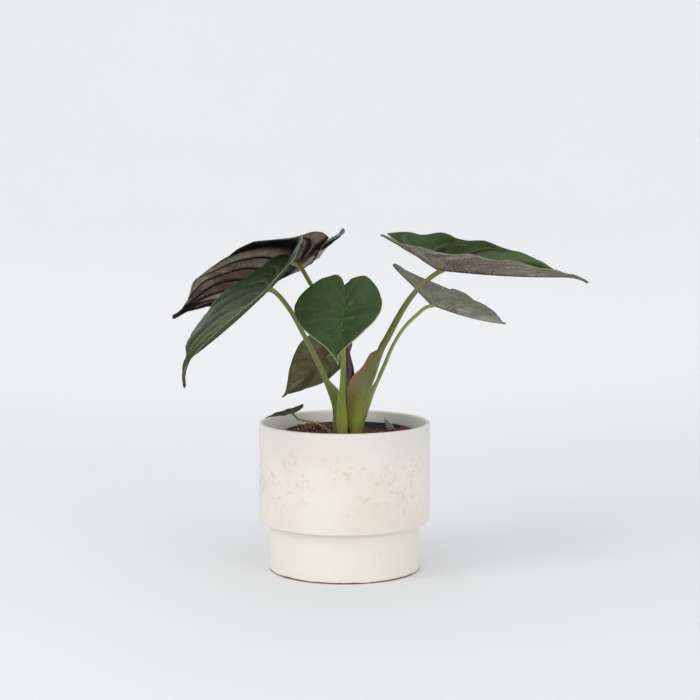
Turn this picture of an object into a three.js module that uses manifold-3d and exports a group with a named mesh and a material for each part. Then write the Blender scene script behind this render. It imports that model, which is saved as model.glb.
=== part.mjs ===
// A potted alocasia: seven leaves on sheathed stalks, a rolled young leaf and a small side shoot. They
// stand on one rootstock in a plastic nursery pot of soil, and that pot stands in a stepped planter.
// Millimetres, +Z up, origin at the centre of the planter's foot. The front is the -Y side.

import * as THREE from "three";
import { mergeVertices } from "three/addons/utils/BufferGeometryUtils.js";
import Module from "manifold-3d";

const wasm = await Module();
wasm.setup();

// ---- Driving dimensions ------------------------------------------------------------------------------

const SEAT_GAP = 0.3; // clearance between pieces that rest on or in each other

const PLANTER = {
  height: 130,
  bandRadius: 75, // the wide upper band
  footRadius: 66, // the narrower lower band
  step: 43, // height of the band's underside
  bandWall: 3.6,
  footWall: 5,
  floor: 7,
  edge: 1.6, // rounding of the band's lower edge
  footEdge: 1.2, // chamfer round the foot
  sides: 48,
};

const NURSERY_POT = {
  rimRadius: 57.5,
  bodyRadius: 55.5, // just under the rim
  baseRadius: 43,
  wall: 1.2,
  rim: 7, // height of the thick rim
  top: 121.5,
  feet: 2.2, // the middle of the base is raised by this, so that water runs out
  drain: { holes: 6, radius: 3.5, ring: 22 },
  sides: 40,
  x: 4.5, // it stands a little off the planter's middle
  y: 1.5,
};

const SOIL = {
  level: 116.3,
  swells: [
    // it lies higher on the back left and on the right, and lower at the back between them
    { height: 6.5, x: -27, y: 26, spread: 30 },
    { height: 6, x: 56, y: 10, spread: 18 },
    { height: -1.6, x: 28, y: 48, spread: 18 },
  ],
  crumb: 0.9, // height of the crumbs
  rings: 8,
  sides: 40,
};

const ROOTSTOCK = { x: 2, y: 0.5, radius: 16, neck: 11, top: 108, bottom: 80, sides: 16 };

const SHEET = {
  thickness: 0.8,
  midrib: 1.1, // how far the midrib stands out below
  vein: 0.5, // and the side veins
  veins: 10, // vein gaps of each half, from the notch round the lobe to the tip
  behind: 0.3, // share of them that lies behind the stalk
};

const STALK_FOOT = ROOTSTOCK.top + SEAT_GAP;

// The leaves. at: where the stalk meets the blade. reach: from there to the tip. lobes: from there back
// to the ends of the two lobes. notch: depth of the joined part behind the stalk. half: half the
// breadth. heading: the way that the tip points, in degrees from +X towards +Y. dip: fall of the
// midrib. roll: turn of the blade about its midrib. left, right: slope of each half at the midrib and
// at the margin. arch: rise of the midrib towards the tip. raise: lift of the lobes, and rise how soon
// it comes. hook: bend of the drip tip, from hookFrom on. lobeTilt: further slope of the left and the
// right lobe. quilt: bulge between two veins. wave: [height, number, phase] of the margin's waves.
// sweep: how far the side veins bend towards the tip. edges: dents and bulges of the margin, each
// [side, place around, spread, along, out, up]. cuts: [steps per vein gap, strips from midrib to
// margin]. route: the stalk's centre line. radius: [at the soil, at the blade]. taper: how soon it
// thins. inward: the stalk's inner side. sheath: [height where it ends, length of its wings, half-
// breadth]. shoulder: depth of the wings' rounded top. narrow: [share of the wings' length that is left
// at their top, how far the breadth has gone there]. fuller: how much longer the wings are lower down.
const LEAVES = {
  back_left: {
    at: [-46.9, 43, 267.1], reach: 142, lobes: 54, notch: 32, half: 58,
    heading: 151, dip: 24.4, roll: 19, left: [12, -9], right: [12, 26],
    arch: 4.3, raise: -1.7, hook: 13, lobeTilt: [-13, 36], quilt: 2.2, wave: [1.2, 5, 0],
    sweep: 0.12, cuts: [3, 4],
    edges: [[1, 0.65, 0.05, 0, 4, 0], [1, 0.36, 0.04, 0, -1, 0], [1, 0.43, 0.07, 0, -3, 0],
      [-1, 0.24, 0.1, 5, -4, 0], [-1, 0.25, 0.06, 1, 0, -6], [-1, 0.405, 0.052, 0, -8.5, 0],
      [-1, 0.72, 0.05, 0, 2.5, 0]],
    route: [[4, 10.5, 118], [3.4, 11, 147], [1.5, 11.5, 169], [-3, 12, 191], [-10, 14, 211],
      [-20, 20, 231], [-31.6, 31, 251], [-40.6, 39.5, 264.2]],
    radius: [4, 2], inward: [0.4, -1], sheath: [160, 4, 4.2],
  },
  front_left: {
    at: [-64.7, -38, 249.5], reach: 134, lobes: 55, notch: 33, half: 51,
    heading: 231, dip: 31.3, roll: 21, left: [13, 13], right: [14, 14],
    arch: 8, raise: 1.4, hook: 63, hookFrom: 0.77, hookEase: 0.7, lobeTilt: [22, -4], quilt: 1.4,
    wave: [1, 5, 0], sweep: 0.12, cuts: [3, 4],
    edges: [[1, 0.2, 0.12, 12, 0, 0], [1, 0.75, 0.05, 0, -5.5, 0], [1, 0.87, 0.05, 0, -2.6, 0],
      [-1, 0.75, 0.05, 0, -5.5, 0], [-1, 0.87, 0.05, 0, -2.6, 0]],
    route: [[-7, 1, 118], [-7.4, -2.3, 142], [-14.4, -7.5, 163.7], [-24.9, -14.5, 187.3],
      [-35.7, -22, 209.5], [-46.2, -29.5, 229.8], [-58, -36, 245.2]],
    radius: [4.2, 2.1], inward: [1, 0.3], sheath: [176, 6.5, 4.4],
  },
  front: {
    at: [-0.4, -65.1, 233], reach: 52.8, lobes: 28.5, notch: 22.5, half: 39,
    heading: 259, dip: 48.5, roll: 8, left: [14, 14], right: [13.5, 13.5],
    arch: -10.8, raise: 22, hook: 39, lobeTilt: [0, 0], quilt: 0.6, wave: [0.3, 5, 0],
    sweep: 0.06, cuts: [2, 4],
    edges: [[1, 0.07, 0.04, 0, 2.5, 0], [1, 0.34, 0.14, 0, -2.8, 0], [1, 0.58, 0.07, 0, -1.8, 0],
      [1, 0.73, 0.1, 0, -6, 0], [-1, 0.13, 0.09, -4.5, 0, 0], [-1, 0.26, 0.08, 0, -3, 0],
      [-1, 0.4, 0.08, 0, 3, 0], [-1, 0.7, 0.08, 0, -3, 0]],
    route: [[-2, -8.8, 118], [-2.6, -16, 142], [-1.8, -28, 168], [-0.6, -43.4, 197], [-1, -54, 215]],
    radius: [5.2, 2.1], taper: 2.2, inward: [0.1, 1], sheath: [172, 4.5, 6.5], narrow: [1, 1],
  },
  right: {
    at: [84.1, -26.7, 265], reach: 125, lobes: 59.4, notch: 19, half: 41.5,
    heading: -13.7, dip: 5.6, roll: 8.5, left: [27.6, 30], right: [38, 25.6],
    arch: 8.5, raise: 22.5, rise: 8, hook: 40, lobeTilt: [-22, -16], quilt: 1.2, wave: [1, 8.5, -0.13],
    sweep: 0.1, cuts: [4, 4],
    edges: [[1, 0.26, 0.035, 0, 0, -4], [1, 0.32, 0.018, 0, 0, 1.5], [1, 0.35, 0.02, 0, 0, -1.5],
      [1, 0.39, 0.03, 0, 0, 4.2], [1, 0.69, 0.02, 0, 0, 2], [1, 0.755, 0.05, 0, 0, -6]],
    route: [[8.5, -1, 118], [13.4, -2.7, 136], [17.3, -5.1, 154], [23.8, -7.9, 172], [31.3, -11.9, 194],
      [37, -13.9, 204.6], [51.2, -19.4, 231.6], [62.8, -22.8, 247.7], [72.3, -24.8, 256.6]],
    radius: [5, 2.1], taper: 1.1, inward: [-1, 0.3], sheath: [196, 11.5, 5.6], shoulder: 7,
    narrow: [0.5, 0], fuller: 0.4,
  },
  back_right: {
    at: [80.3, 32.3, 229.9], reach: 70, lobes: 54.9, notch: 18, half: 35.8,
    heading: 14.2, dip: 21.7, roll: -8.7, left: [23.8, 17], right: [23.8, 16],
    arch: 14, raise: 21, rise: 8, hook: 2, lobeTilt: [4, -28], quilt: 1.1, wave: [0.8, 5, 0],
    sweep: 0.08, cuts: [3, 4],
    edges: [[1, 0.24, 0.09, 4, -5, 0], [1, 0.74, 0.1, 0, 5, 0], [-1, 0.74, 0.1, 0, 6, 0]],
    route: [[13, 6, 118], [19.3, 6.6, 140], [25, 9.3, 155.5], [35.7, 15.7, 178.6], [42.3, 20.2, 193.6],
      [52.8, 25.5, 210], [65.7, 29.7, 222.4], [71.4, 31.2, 226.9]],
    radius: [2.8, 1.6], inward: [-1, 0], sheath: [172, 4, 3],
  },
  low: {
    at: [-15.9, 27.5, 183.3], reach: 53.7, lobes: 27, notch: 12, half: 31.3,
    heading: 186.7, dip: 42.7, roll: 50, left: [11, 11], right: [9.3, 11.5],
    arch: 3.7, raise: 9.4, hook: 2, lobeTilt: [0, 0], quilt: 0.7, wave: [0.4, 5, 0],
    sweep: 0.06, cuts: [2, 4], edges: [],
    route: [[-3, 9.5, 118], [-2.6, 13, 148], [-2.2, 17, 168], [-3, 20.5, 181], [-6.2, 23.5, 186.6],
      [-11, 26, 186.2]],
    radius: [2.4, 1.3], inward: [0.5, -1], sheath: [140, 2, 2.4],
  },
  tiny: {
    at: [-45.5, -27.4, 142], reach: 23.1, lobes: 12, notch: 5.3, half: 8.1,
    heading: 182.7, dip: 13.9, roll: -6.3, left: [21.5, -13.6], right: [18.5, -1.3],
    arch: 7.3, raise: 13, hook: 36, lobeTilt: [0, 0], quilt: 0.3, wave: [0.3, 5, 0],
    sweep: 0.02, cuts: [1, 3], edges: [],
    route: [[-11, -5, 119], [-21.1, -11.2, 128], [-26.6, -14.5, 131], [-39.3, -18.2, 134.3]],
    radius: [1.5, 0.9], inward: [1, 0], sheath: [121, 0, 1.5],
  },
};

// The young leaf is still rolled into a spear, and its foot stands in the sheath of the right-hand stalk.
const ROLLED_LEAF = {
  route: [[6.6, -0.8, 124], [6.2, -1.2, 140], [6, -1.4, 154], [5.2, -1.2, 172], [3.6, -0.6, 186],
    [1.4, 0, 200]],
  radii: [2.4, 3, 3.4, 3.6, 2.3, 0.4],
  sides: 12,
};

// A shoot that has just come through the soil: broad at its foot, flat and pointed.
const SIDE_SHOOT = {
  route: [[42.4, 27, 111], [41.4, 27, 118], [38.6, 27, 124], [35.5, 27, 129.3]],
  halfBreadths: [4, 4, 2.6, 0.4],
  flatness: 0.5,
  sides: 8,
};

const STALK_SIDES = 16;
const TWIG_SIDES = 8; // for a stalk thinner than this many millimetres across at the soil:
const TWIG = 3.5;
const STALK_STEP = 7; // length of one step along a stalk

const COLOURS = {
  glaze: "#ebe8de",
  plastic: "#1c1c1e",
  soil: "#4a2a20",
  root: "#8a7a52",
  stalk: "#7f8a45",
  twig: "#6e7338",
  blade: "#3d4d37",
  rolled: "#3c2428",
  shoot: "#8f9a86",
};

// ---- Helpers -----------------------------------------------------------------------------------------

const { degToRad, lerp, clamp, smoothstep } = THREE.MathUtils;
const vector = (p) => new THREE.Vector3(...p);

function finish(colour, roughness) {
  return new THREE.MeshStandardMaterial({ color: colour, roughness, metalness: 0 });
}

// A geometry from a list of points and a list of triangles.
function meshed(points, triangles) {
  const geometry = new THREE.BufferGeometry().setFromPoints(points);
  geometry.setIndex(triangles.flat());
  return geometry;
}

// A closed skin over rings of points, with a fan at each end. The rings turn counter-clockwise when they
// are seen from the last one.
function loft(rings) {
  const sides = rings[0].length;
  const points = rings.flat();
  const triangles = [];
  for (let i = 0; i + 1 < rings.length; i++)
    for (let k = 0; k < sides; k++) {
      const a = i * sides + k;
      const b = i * sides + ((k + 1) % sides);
      triangles.push([a, b, b + sides], [a, b + sides, a + sides]);
    }
  const centre = (ring) => ring.reduce((sum, p) => sum.add(p), new THREE.Vector3()).divideScalar(sides);
  const first = points.push(centre(rings[0])) - 1;
  const last = points.push(centre(rings.at(-1))) - 1;
  const start = (rings.length - 1) * sides;
  for (let k = 0; k < sides; k++) {
    const next = (k + 1) % sides;
    triangles.push([first, next, k], [last, start + k, start + next]);
  }
  return meshed(points, triangles);
}

// A body turned from a profile of [radius, height] points that starts and ends on the axis.
function turned(profile, sides) {
  const points = profile.map(([radius, height]) => new THREE.Vector2(radius, height));
  return new THREE.LatheGeometry(points, sides).rotateX(Math.PI / 2);
}

// Points of a quarter circle about [radius, height], between two angles in degrees.
function arc(radius, height, size, from, to, steps) {
  return Array.from({ length: steps + 1 }, (_, i) => {
    const angle = degToRad(lerp(from, to, i / steps));
    return [radius + size * Math.cos(angle), height + size * Math.sin(angle)];
  });
}

function upright(radius, from, to, sides, x, y) {
  const geometry = new THREE.CylinderGeometry(radius, radius, to - from, sides);
  return geometry.rotateX(Math.PI / 2).translate(x, y, (from + to) / 2);
}

function solid(geometry) {
  const bare = geometry.clone().deleteAttribute("normal").deleteAttribute("uv");
  const merged = mergeVertices(bare, 1e-4);
  const index = merged.index.array;
  const kept = [];
  for (let i = 0; i < index.length; i += 3) {
    const [a, b, c] = index.slice(i, i + 3);
    if (a !== b && b !== c && c !== a) kept.push(a, b, c);
  }
  return new wasm.Manifold(
    new wasm.Mesh({
      numProp: 3,
      vertProperties: merged.attributes.position.array,
      triVerts: new Uint32Array(kept),
    }),
  );
}

function geometryOf(manifold) {
  const mesh = manifold.getMesh();
  const geometry = new THREE.BufferGeometry();
  geometry.setAttribute("position", new THREE.BufferAttribute(new Float32Array(mesh.vertProperties), 3));
  geometry.setIndex(new THREE.BufferAttribute(new Uint32Array(mesh.triVerts), 1));
  return geometry;
}

function cut(geometry, cutters) {
  return geometryOf(cutters.reduce((rest, cutter) => rest.subtract(solid(cutter)), solid(geometry)));
}

// ---- Pots and soil -----------------------------------------------------------------------------------

function planterGeometry() {
  const { height, bandRadius, footRadius, step, bandWall, footWall, floor, sides } = PLANTER;
  const { edge, footEdge } = PLANTER;
  const lip = bandWall / 2;
  const inner = bandRadius - bandWall;
  const footInner = footRadius - footWall;
  return turned(
    [
      [0, 0],
      [footRadius - footEdge, 0],
      [footRadius, footEdge],
      [footRadius, step - edge],
      [footRadius + edge, step],
      ...arc(bandRadius - edge, step + edge, edge, -90, 0, 3),
      ...arc(bandRadius - lip, height - lip, lip, 0, 180, 6),
      [inner, step + 12],
      [footInner, step],
      ...arc(footInner - 4, floor + 4, 4, 0, -90, 2),
      [0, floor],
    ],
    sides,
  );
}

function nurseryPotGeometry() {
  const { rimRadius, bodyRadius, baseRadius, wall, rim, top, feet, drain, sides } = NURSERY_POT;
  const base = PLANTER.floor + SEAT_GAP;
  const pot = turned(
    [
      [0, base + feet],
      [baseRadius - 14, base + feet],
      [baseRadius - 11, base],
      [baseRadius, base],
      [bodyRadius, top - rim],
      [rimRadius, top - rim],
      [rimRadius, top],
      [rimRadius - 1.5 * wall, top],
      [rimRadius - 1.5 * wall, top - rim + wall],
      [bodyRadius - wall, top - rim - wall],
      [baseRadius - wall, base + wall],
      [baseRadius - 11 + wall / 2, base + wall],
      [baseRadius - 14 + wall / 2, base + feet + wall],
      [0, base + feet + wall],
    ],
    sides,
  );
  const holes = Array.from({ length: drain.holes }, (_, i) => {
    const turn = (2 * Math.PI * i) / drain.holes;
    const x = drain.ring * Math.cos(turn);
    const y = drain.ring * Math.sin(turn);
    return upright(drain.radius, base - 5, base + 10, 10, x, y);
  });
  return cut(pot, holes).translate(NURSERY_POT.x, NURSERY_POT.y, 0);
}

function soilHeight(x, y) {
  const crumbs = Math.sin(0.9 * x + 1.7 * Math.sin(0.55 * y)) + Math.sin(0.8 * y - 1.3 * Math.sin(0.7 * x));
  const swell = SOIL.swells
    .map((s) => s.height * Math.exp(-((x - s.x) ** 2 + (y - s.y) ** 2) / s.spread ** 2))
    .reduce((sum, height) => sum + height);
  return SOIL.level + swell + (SOIL.crumb * crumbs) / 2;
}

function soilGeometry() {
  const { bodyRadius, baseRadius, wall, rim, top, feet } = NURSERY_POT;
  const bottom = PLANTER.floor + feet + wall + 2 * SEAT_GAP;
  const potBase = PLANTER.floor + SEAT_GAP;
  const wallTop = top - rim - wall;
  // Radius of the soil at a height, just inside the pot's wall.
  const reach = (height) => {
    const share = (height - potBase) / (wallTop - potBase);
    return lerp(baseRadius, bodyRadius, Math.min(share, 1)) - wall - 2 * SEAT_GAP;
  };
  const ring = (radius, height) =>
    Array.from({ length: SOIL.sides }, (_, k) => {
      const turn = (-2 * Math.PI * k) / SOIL.sides;
      const x = NURSERY_POT.x + radius * Math.cos(turn);
      const y = NURSERY_POT.y + radius * Math.sin(turn);
      return new THREE.Vector3(x, y, height ?? soilHeight(x, y));
    });
  const edge = reach(wallTop);
  const rings = Array.from({ length: SOIL.rings }, (_, i) => ring((edge * (i + 1)) / SOIL.rings));
  rings.push(ring(edge, wallTop - 4), ring(reach(bottom), bottom));
  const holes = Object.values(LEAVES).map((leaf) => {
    const [x, y] = leaf.route[0];
    return upright(leaf.radius[0] + SEAT_GAP + 0.1, STALK_FOOT - 2, 140, STALK_SIDES, x, y);
  });
  const [shootFoot] = SIDE_SHOOT.route;
  const shootHole = SIDE_SHOOT.halfBreadths[0] + 3 * SEAT_GAP;
  holes.push(upright(shootHole, shootFoot[2] - SEAT_GAP, 140, 12, shootFoot[0] - SEAT_GAP, shootFoot[1]));
  return cut(loft(rings), [...holes, rootstockGeometry(SEAT_GAP)]);
}

function rootstockGeometry(grown = 0) {
  const { x, y, radius, neck, top, bottom, sides } = ROOTSTOCK;
  const profile = [
    [0, bottom - grown],
    [neck * 0.5 + grown, bottom - grown],
    [neck + grown, bottom + 5],
    [radius + grown, top - 9],
    [radius + grown, top + grown],
    [0, top + grown],
  ];
  return turned(profile, sides).translate(x, y, 0);
}

// ---- Blades ------------------------------------------------------------------------------------------

// Half of a blade's outline on its flat pattern, from the notch round the lobe to the tip: x runs along
// the midrib and y out from it.
function outline({ reach, lobes, notch, half }) {
  return new THREE.SplineCurve(
    [
      [-notch, 0],
      [-lerp(notch, lobes, 0.55), 0.09 * half],
      [-0.97 * lobes, 0.3 * half],
      [-0.93 * lobes, 0.62 * half],
      [-0.45 * lobes, 0.92 * half],
      [0.1 * reach, half],
      [0.32 * reach, 0.9 * half],
      [0.55 * reach, 0.62 * half],
      [0.75 * reach, 0.3 * half],
      [0.88 * reach, 0.085 * half],
      [0.95 * reach, 0.03 * half],
      [reach, 0],
    ].map(([x, y]) => new THREE.Vector2(x, y)),
  );
}

// Slope of the midrib at a distance along it, in radians. It is negative behind the stalk.
function midribSlope(leaf, along) {
  const { reach, lobes, arch, hook, hookFrom = 0.8, hookEase = 1.5, raise, rise = 3.5 } = leaf;
  const share = clamp(along / reach, 0, 1);
  const tip = clamp((share - hookFrom) / (1 - hookFrom), 0, 1);
  const back = smoothstep(-along, 0, lobes / rise);
  return degToRad(arch * share ** 1.2 - hook * tip ** hookEase - raise * back);
}

// A half's margin with its own dents and bulges: its place on the flat pattern, and how far it is lifted.
function marginPlace(leaf, side, around) {
  const margin = outline(leaf).getPoint(around);
  const ends = clamp(around / 0.05, 0, 1) * clamp((1 - around) / 0.05, 0, 1);
  let lifted = 0;
  for (const [half, centre, spread, along, out, up] of leaf.edges) {
    if (half !== side) continue;
    const share = ends * Math.exp(-(((around - centre) / spread) ** 2));
    margin.x += along * share;
    margin.y += out * share;
    lifted += up * share;
  }
  return { x: margin.x, y: Math.max(margin.y, 0), lifted };
}

// Place on the midrib's bent line: its run and its rise from the stalk.
function midribPlace(leaf, along) {
  const steps = 24;
  let run = 0;
  let rise = 0;
  for (let i = 0; i < steps; i++) {
    const slope = midribSlope(leaf, (along * (i + 0.5)) / steps);
    run += (Math.cos(slope) * along) / steps;
    rise += (Math.sin(slope) * along) / steps;
  }
  return [run, rise];
}

// The blade's own axes: along the midrib, out to its left, and up from its face.
function bladeAxes({ heading, dip, roll }) {
  const [a, d, r] = [heading, dip, roll].map(degToRad);
  const along = new THREE.Vector3(Math.cos(a) * Math.cos(d), Math.sin(a) * Math.cos(d), -Math.sin(d));
  const level = new THREE.Vector3(-Math.sin(a), Math.cos(a), 0);
  const above = along.clone().cross(level);
  const out = level.clone().multiplyScalar(Math.cos(r)).addScaledVector(above, Math.sin(r));
  const up = above.multiplyScalar(Math.cos(r)).addScaledVector(level, -Math.sin(r));
  return { along, out, up };
}

// A point of the sheet. side: 1 is the left half, -1 the right one. place: 0 at the notch to 1 at the tip,
// along the way of the veins. across: 0 on the midrib to 1 on the margin. lift: distance above the face.
function bladePoint(leaf, side, place, across, lift) {
  const { reach, lobes, notch, half, left, right, lobeTilt, quilt, wave, sweep } = leaf;
  const around = clamp(place + sweep * across ** 2 * Math.sin(Math.PI * place), 0, 1);
  const root = around < SHEET.behind
    ? -notch * (1 - around / SHEET.behind)
    : reach * ((around - SHEET.behind) / (1 - SHEET.behind)) ** 1.35;
  const margin = marginPlace(leaf, side, around);
  const along = lerp(root, margin.x, across);
  const wide = margin.y * across;

  // Each half is a strip of a cylinder: its slope changes evenly from the midrib to the margin.
  const [inner, outer] = (side > 0 ? left : right).map(degToRad);
  const tilt = degToRad(lobeTilt[side > 0 ? 0 : 1]) * clamp(-along / lobes, 0, 1);
  const bend = (outer - inner) / half;
  const start = inner + tilt;
  const slope = start + bend * wide;
  let out = (Math.sin(slope) - Math.sin(start)) / bend;
  let up = (Math.cos(start) - Math.cos(slope)) / bend;
  if (Math.abs(bend) < 1e-6) [out, up] = [Math.cos(start) * wide, Math.sin(start) * wide];

  const between = Math.abs(Math.sin(Math.PI * SHEET.veins * place)) ** 0.8;
  const puff = between * Math.sin((Math.PI * across) / 2);
  const [high, count, phase] = wave;
  const ends = across ** 3 * Math.sin(Math.PI * around);
  const ripple = ends * Math.sin(Math.PI * (2 * count * around + phase));
  const bulge = quilt * puff * (1 - 0.6 * across ** 6);
  const height = bulge + high * ripple + margin.lifted * across ** 2 + lift;
  if (across > 0) out -= Math.sin(slope) * height;
  up += across > 0 ? Math.cos(slope) * height : height;

  const lean = midribSlope(leaf, along);
  const [run, rise] = midribPlace(leaf, along);
  const axes = bladeAxes(leaf);
  return vector(leaf.at)
    .addScaledVector(axes.along, run - Math.sin(lean) * up)
    .addScaledVector(axes.up, rise + Math.cos(lean) * up)
    .addScaledVector(axes.out, side * out);
}

// Depth of the lower face under the upper one: the midrib and the side veins stand out below.
function bladeDepth(around, across) {
  const vein = Math.abs(Math.cos(Math.PI * SHEET.veins * around)) > 0.99 ? SHEET.vein * (1 - across) : 0;
  const midrib = across === 0 ? SHEET.midrib * (1 - around) ** 0.5 * Math.min(1, 4 * around) : 0;
  return SHEET.thickness + Math.max(midrib, vein);
}

// Both faces have the same triangles, so that they never cross, and a rim joins them.
function bladeGeometry(leaf) {
  const [perVein, strips] = leaf.cuts;
  const rows = perVein * SHEET.veins;
  const points = [];
  const place = new Map();
  const at = (side, i, j, face) => {
    const onMidrib = j === 0 || i === 0 || i === rows;
    const key = [onMidrib ? 0 : side, i, i === 0 || i === rows ? 0 : j, face].join();
    if (!place.has(key)) {
      const across = i === 0 || i === rows ? 0 : j / strips;
      const lift = face ? 0 : -bladeDepth(i / rows, across);
      place.set(key, points.push(bladePoint(leaf, side, i / rows, across, lift)) - 1);
    }
    return place.get(key);
  };
  const triangles = [];
  const add = (a, b, c, turn) => {
    if (a !== b && b !== c && c !== a) triangles.push(turn ? [a, c, b] : [a, b, c]);
  };
  for (const side of [1, -1])
    for (let i = 0; i < rows; i++) {
      for (const face of [1, 0])
        for (let j = 0; j < strips; j++) {
          const [a, b] = [at(side, i, j, face), at(side, i + 1, j, face)];
          const [c, d] = [at(side, i + 1, j + 1, face), at(side, i, j + 1, face)];
          const turn = (side > 0) !== (face === 1);
          add(a, b, c, turn);
          add(a, c, d, turn);
        }
      const [a, b] = [at(side, i, strips, 1), at(side, i + 1, strips, 1)];
      const [c, d] = [at(side, i + 1, strips, 0), at(side, i, strips, 0)];
      add(a, b, c, side < 0);
      add(a, c, d, side < 0);
    }
  return meshed(points, triangles);
}

// ---- Stalks ------------------------------------------------------------------------------------------

// Section of a stalk, x across and y inward. open: 0 is a plain oval, 1 the sheath's channel, whose two
// wings reach inward by wing.
function stalkSection(radius, breadth, wing, open, sides) {
  const hollow = [
    [0, -1, 0], [0.5, -0.87, 0], [0.87, -0.5, 0], [1, 0, 0.1], [0.98, 0, 0.55], [0.8, 0, 1],
    [0.68, 0, 0.97], [0.72, 0, 0.4], [0, -0.4, 0],
  ];
  const shape = [...hollow, ...hollow.slice(1, -1).reverse().map(([x, y, w]) => [-x, y, w])];
  return Array.from({ length: sides }, (_, k) => {
    const turn = (2 * Math.PI * k) / sides - Math.PI / 2;
    const oval = new THREE.Vector2(radius * Math.cos(turn), radius * Math.sin(turn));
    const [x, y, w] = shape[(k * shape.length) / sides];
    return oval.lerp(new THREE.Vector2(breadth * x, radius * y + wing * w), open);
  });
}

// The stalk's centre line, from the rootstock to the blade.
function stalkRoute(leaf) {
  const [x, y, z] = leaf.route[0];
  const points = [[x, y, STALK_FOOT], [x, y, (STALK_FOOT + z) / 2], ...leaf.route, leaf.at];
  return new THREE.CatmullRomCurve3(points.map(vector));
}

function stalkGeometry(leaf) {
  const curve = stalkRoute(leaf);
  const steps = Math.ceil(curve.getLength() / STALK_STEP);
  const [thick, thin] = leaf.radius;
  const sides = 2 * thick < TWIG ? TWIG_SIDES : STALK_SIDES;
  const [sheathTop, wing, breadth] = leaf.sheath;
  const { taper = 1.6, shoulder = 22, narrow = [1, 0], fuller = 0 } = leaf;
  const soilLine = leaf.route[0][2];
  const inward = new THREE.Vector3(...leaf.inward, 0.5).normalize();
  const { up } = bladeAxes(leaf);
  const underBlade = vector(leaf.at).addScaledVector(up, -bladeDepth(SHEET.behind, 0) - SEAT_GAP);

  const rings = Array.from({ length: steps + 1 }, (_, i) => {
    const share = i / steps;
    const centre = curve.getPointAt(share);
    const ahead = curve.getTangentAt(share);
    const inner = inward.clone().addScaledVector(ahead, -inward.dot(ahead)).normalize();
    const across = ahead.clone().cross(inner);
    const below = sheathTop - centre.z;
    const open = smoothstep(below, 0, 0.8 * shoulder) * smoothstep(centre.z, soilLine, soilLine + 12);
    const swell = lerp(narrow[0], 1, clamp(below / 30, 0, 1)) * (1 - 0.4 * smoothstep(below, 30, 75));
    const full = 1 + fuller * smoothstep(below, 16, 36);
    const reach = wing * smoothstep(below, 0, shoulder) * swell * full;
    const higher = clamp((centre.z - soilLine) / (sheathTop - soilLine), 0, 1);
    const radius = lerp(thick, thin, Math.min(1, taper * share) ** 0.8);
    const broad = lerp(Math.max(breadth, radius), radius, narrow[1] * higher ** 0.5);
    return stalkSection(radius, broad, reach, open, sides).map((p) => {
      const point = centre.clone().addScaledVector(across, -p.x).addScaledVector(inner, p.y);
      // The end is cut along the blade's lower face.
      const room = underBlade.clone().sub(point).dot(up) / ahead.dot(up);
      return i === steps ? point.addScaledVector(ahead, room) : point;
    });
  });
  return loft(rings);
}

// A round spear along a route, with a radius at each point of the route.
function spear({ route, radii, sides }, grown = 0) {
  const curve = new THREE.CatmullRomCurve3(route.map(vector));
  const sizes = new THREE.SplineCurve(radii.map((radius, i) => new THREE.Vector2(i, radius)));
  const steps = 2 * (route.length - 1);
  const { binormals, normals } = curve.computeFrenetFrames(steps);
  return loft(
    Array.from({ length: steps + 1 }, (_, i) => {
      const centre = curve.getPointAt(i / steps);
      const radius = sizes.getPoint(i / steps).y + grown;
      if (i === 0) centre.z -= grown;
      return Array.from({ length: sides }, (_, k) => {
        const turn = (2 * Math.PI * k) / sides;
        return centre
          .clone()
          .addScaledVector(normals[i], radius * Math.cos(turn))
          .addScaledVector(binormals[i], radius * Math.sin(turn));
      });
    }),
  );
}

function sideShootGeometry() {
  const { route, halfBreadths, flatness, sides } = SIDE_SHOOT;
  return loft(
    route.map(([x, y, z], i) =>
      Array.from({ length: sides }, (_, k) => {
        const turn = (2 * Math.PI * k) / sides;
        const half = halfBreadths[i];
        return new THREE.Vector3(x + half * Math.cos(turn), y + half * flatness * Math.sin(turn), z);
      }),
    ),
  );
}

// ---- The plant in its pots ---------------------------------------------------------------------------

const plant = new THREE.Group();

function add(name, geometry, look) {
  const mesh = new THREE.Mesh(geometry, look);
  mesh.name = name;
  plant.add(mesh);
}

add("planter", planterGeometry(), finish(COLOURS.glaze, 0.75));
add("nursery_pot", nurseryPotGeometry(), finish(COLOURS.plastic, 0.5));
add("soil", soilGeometry(), finish(COLOURS.soil, 0.95));
add("rootstock", rootstockGeometry(), finish(COLOURS.root, 0.9));

const stalkLook = finish(COLOURS.stalk, 0.45);
const twigLook = finish(COLOURS.twig, 0.5);
const bladeLook = finish(COLOURS.blade, 0.4);
for (const [name, leaf] of Object.entries(LEAVES)) {
  let stalk = stalkGeometry(leaf);
  if (name === "right") stalk = cut(stalk, [spear(ROLLED_LEAF, SEAT_GAP)]);
  add("stalk_" + name, stalk, name === "tiny" ? twigLook : stalkLook);
  add("blade_" + name, bladeGeometry(leaf), bladeLook);
}

add("rolled_leaf", spear(ROLLED_LEAF), finish(COLOURS.rolled, 0.4));
add("side_shoot", sideShootGeometry(), finish(COLOURS.shoot, 0.6));

export default plant;
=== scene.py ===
import contextlib
import math
import random

import bpy
import numpy as np
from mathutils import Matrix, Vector, noise


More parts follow.
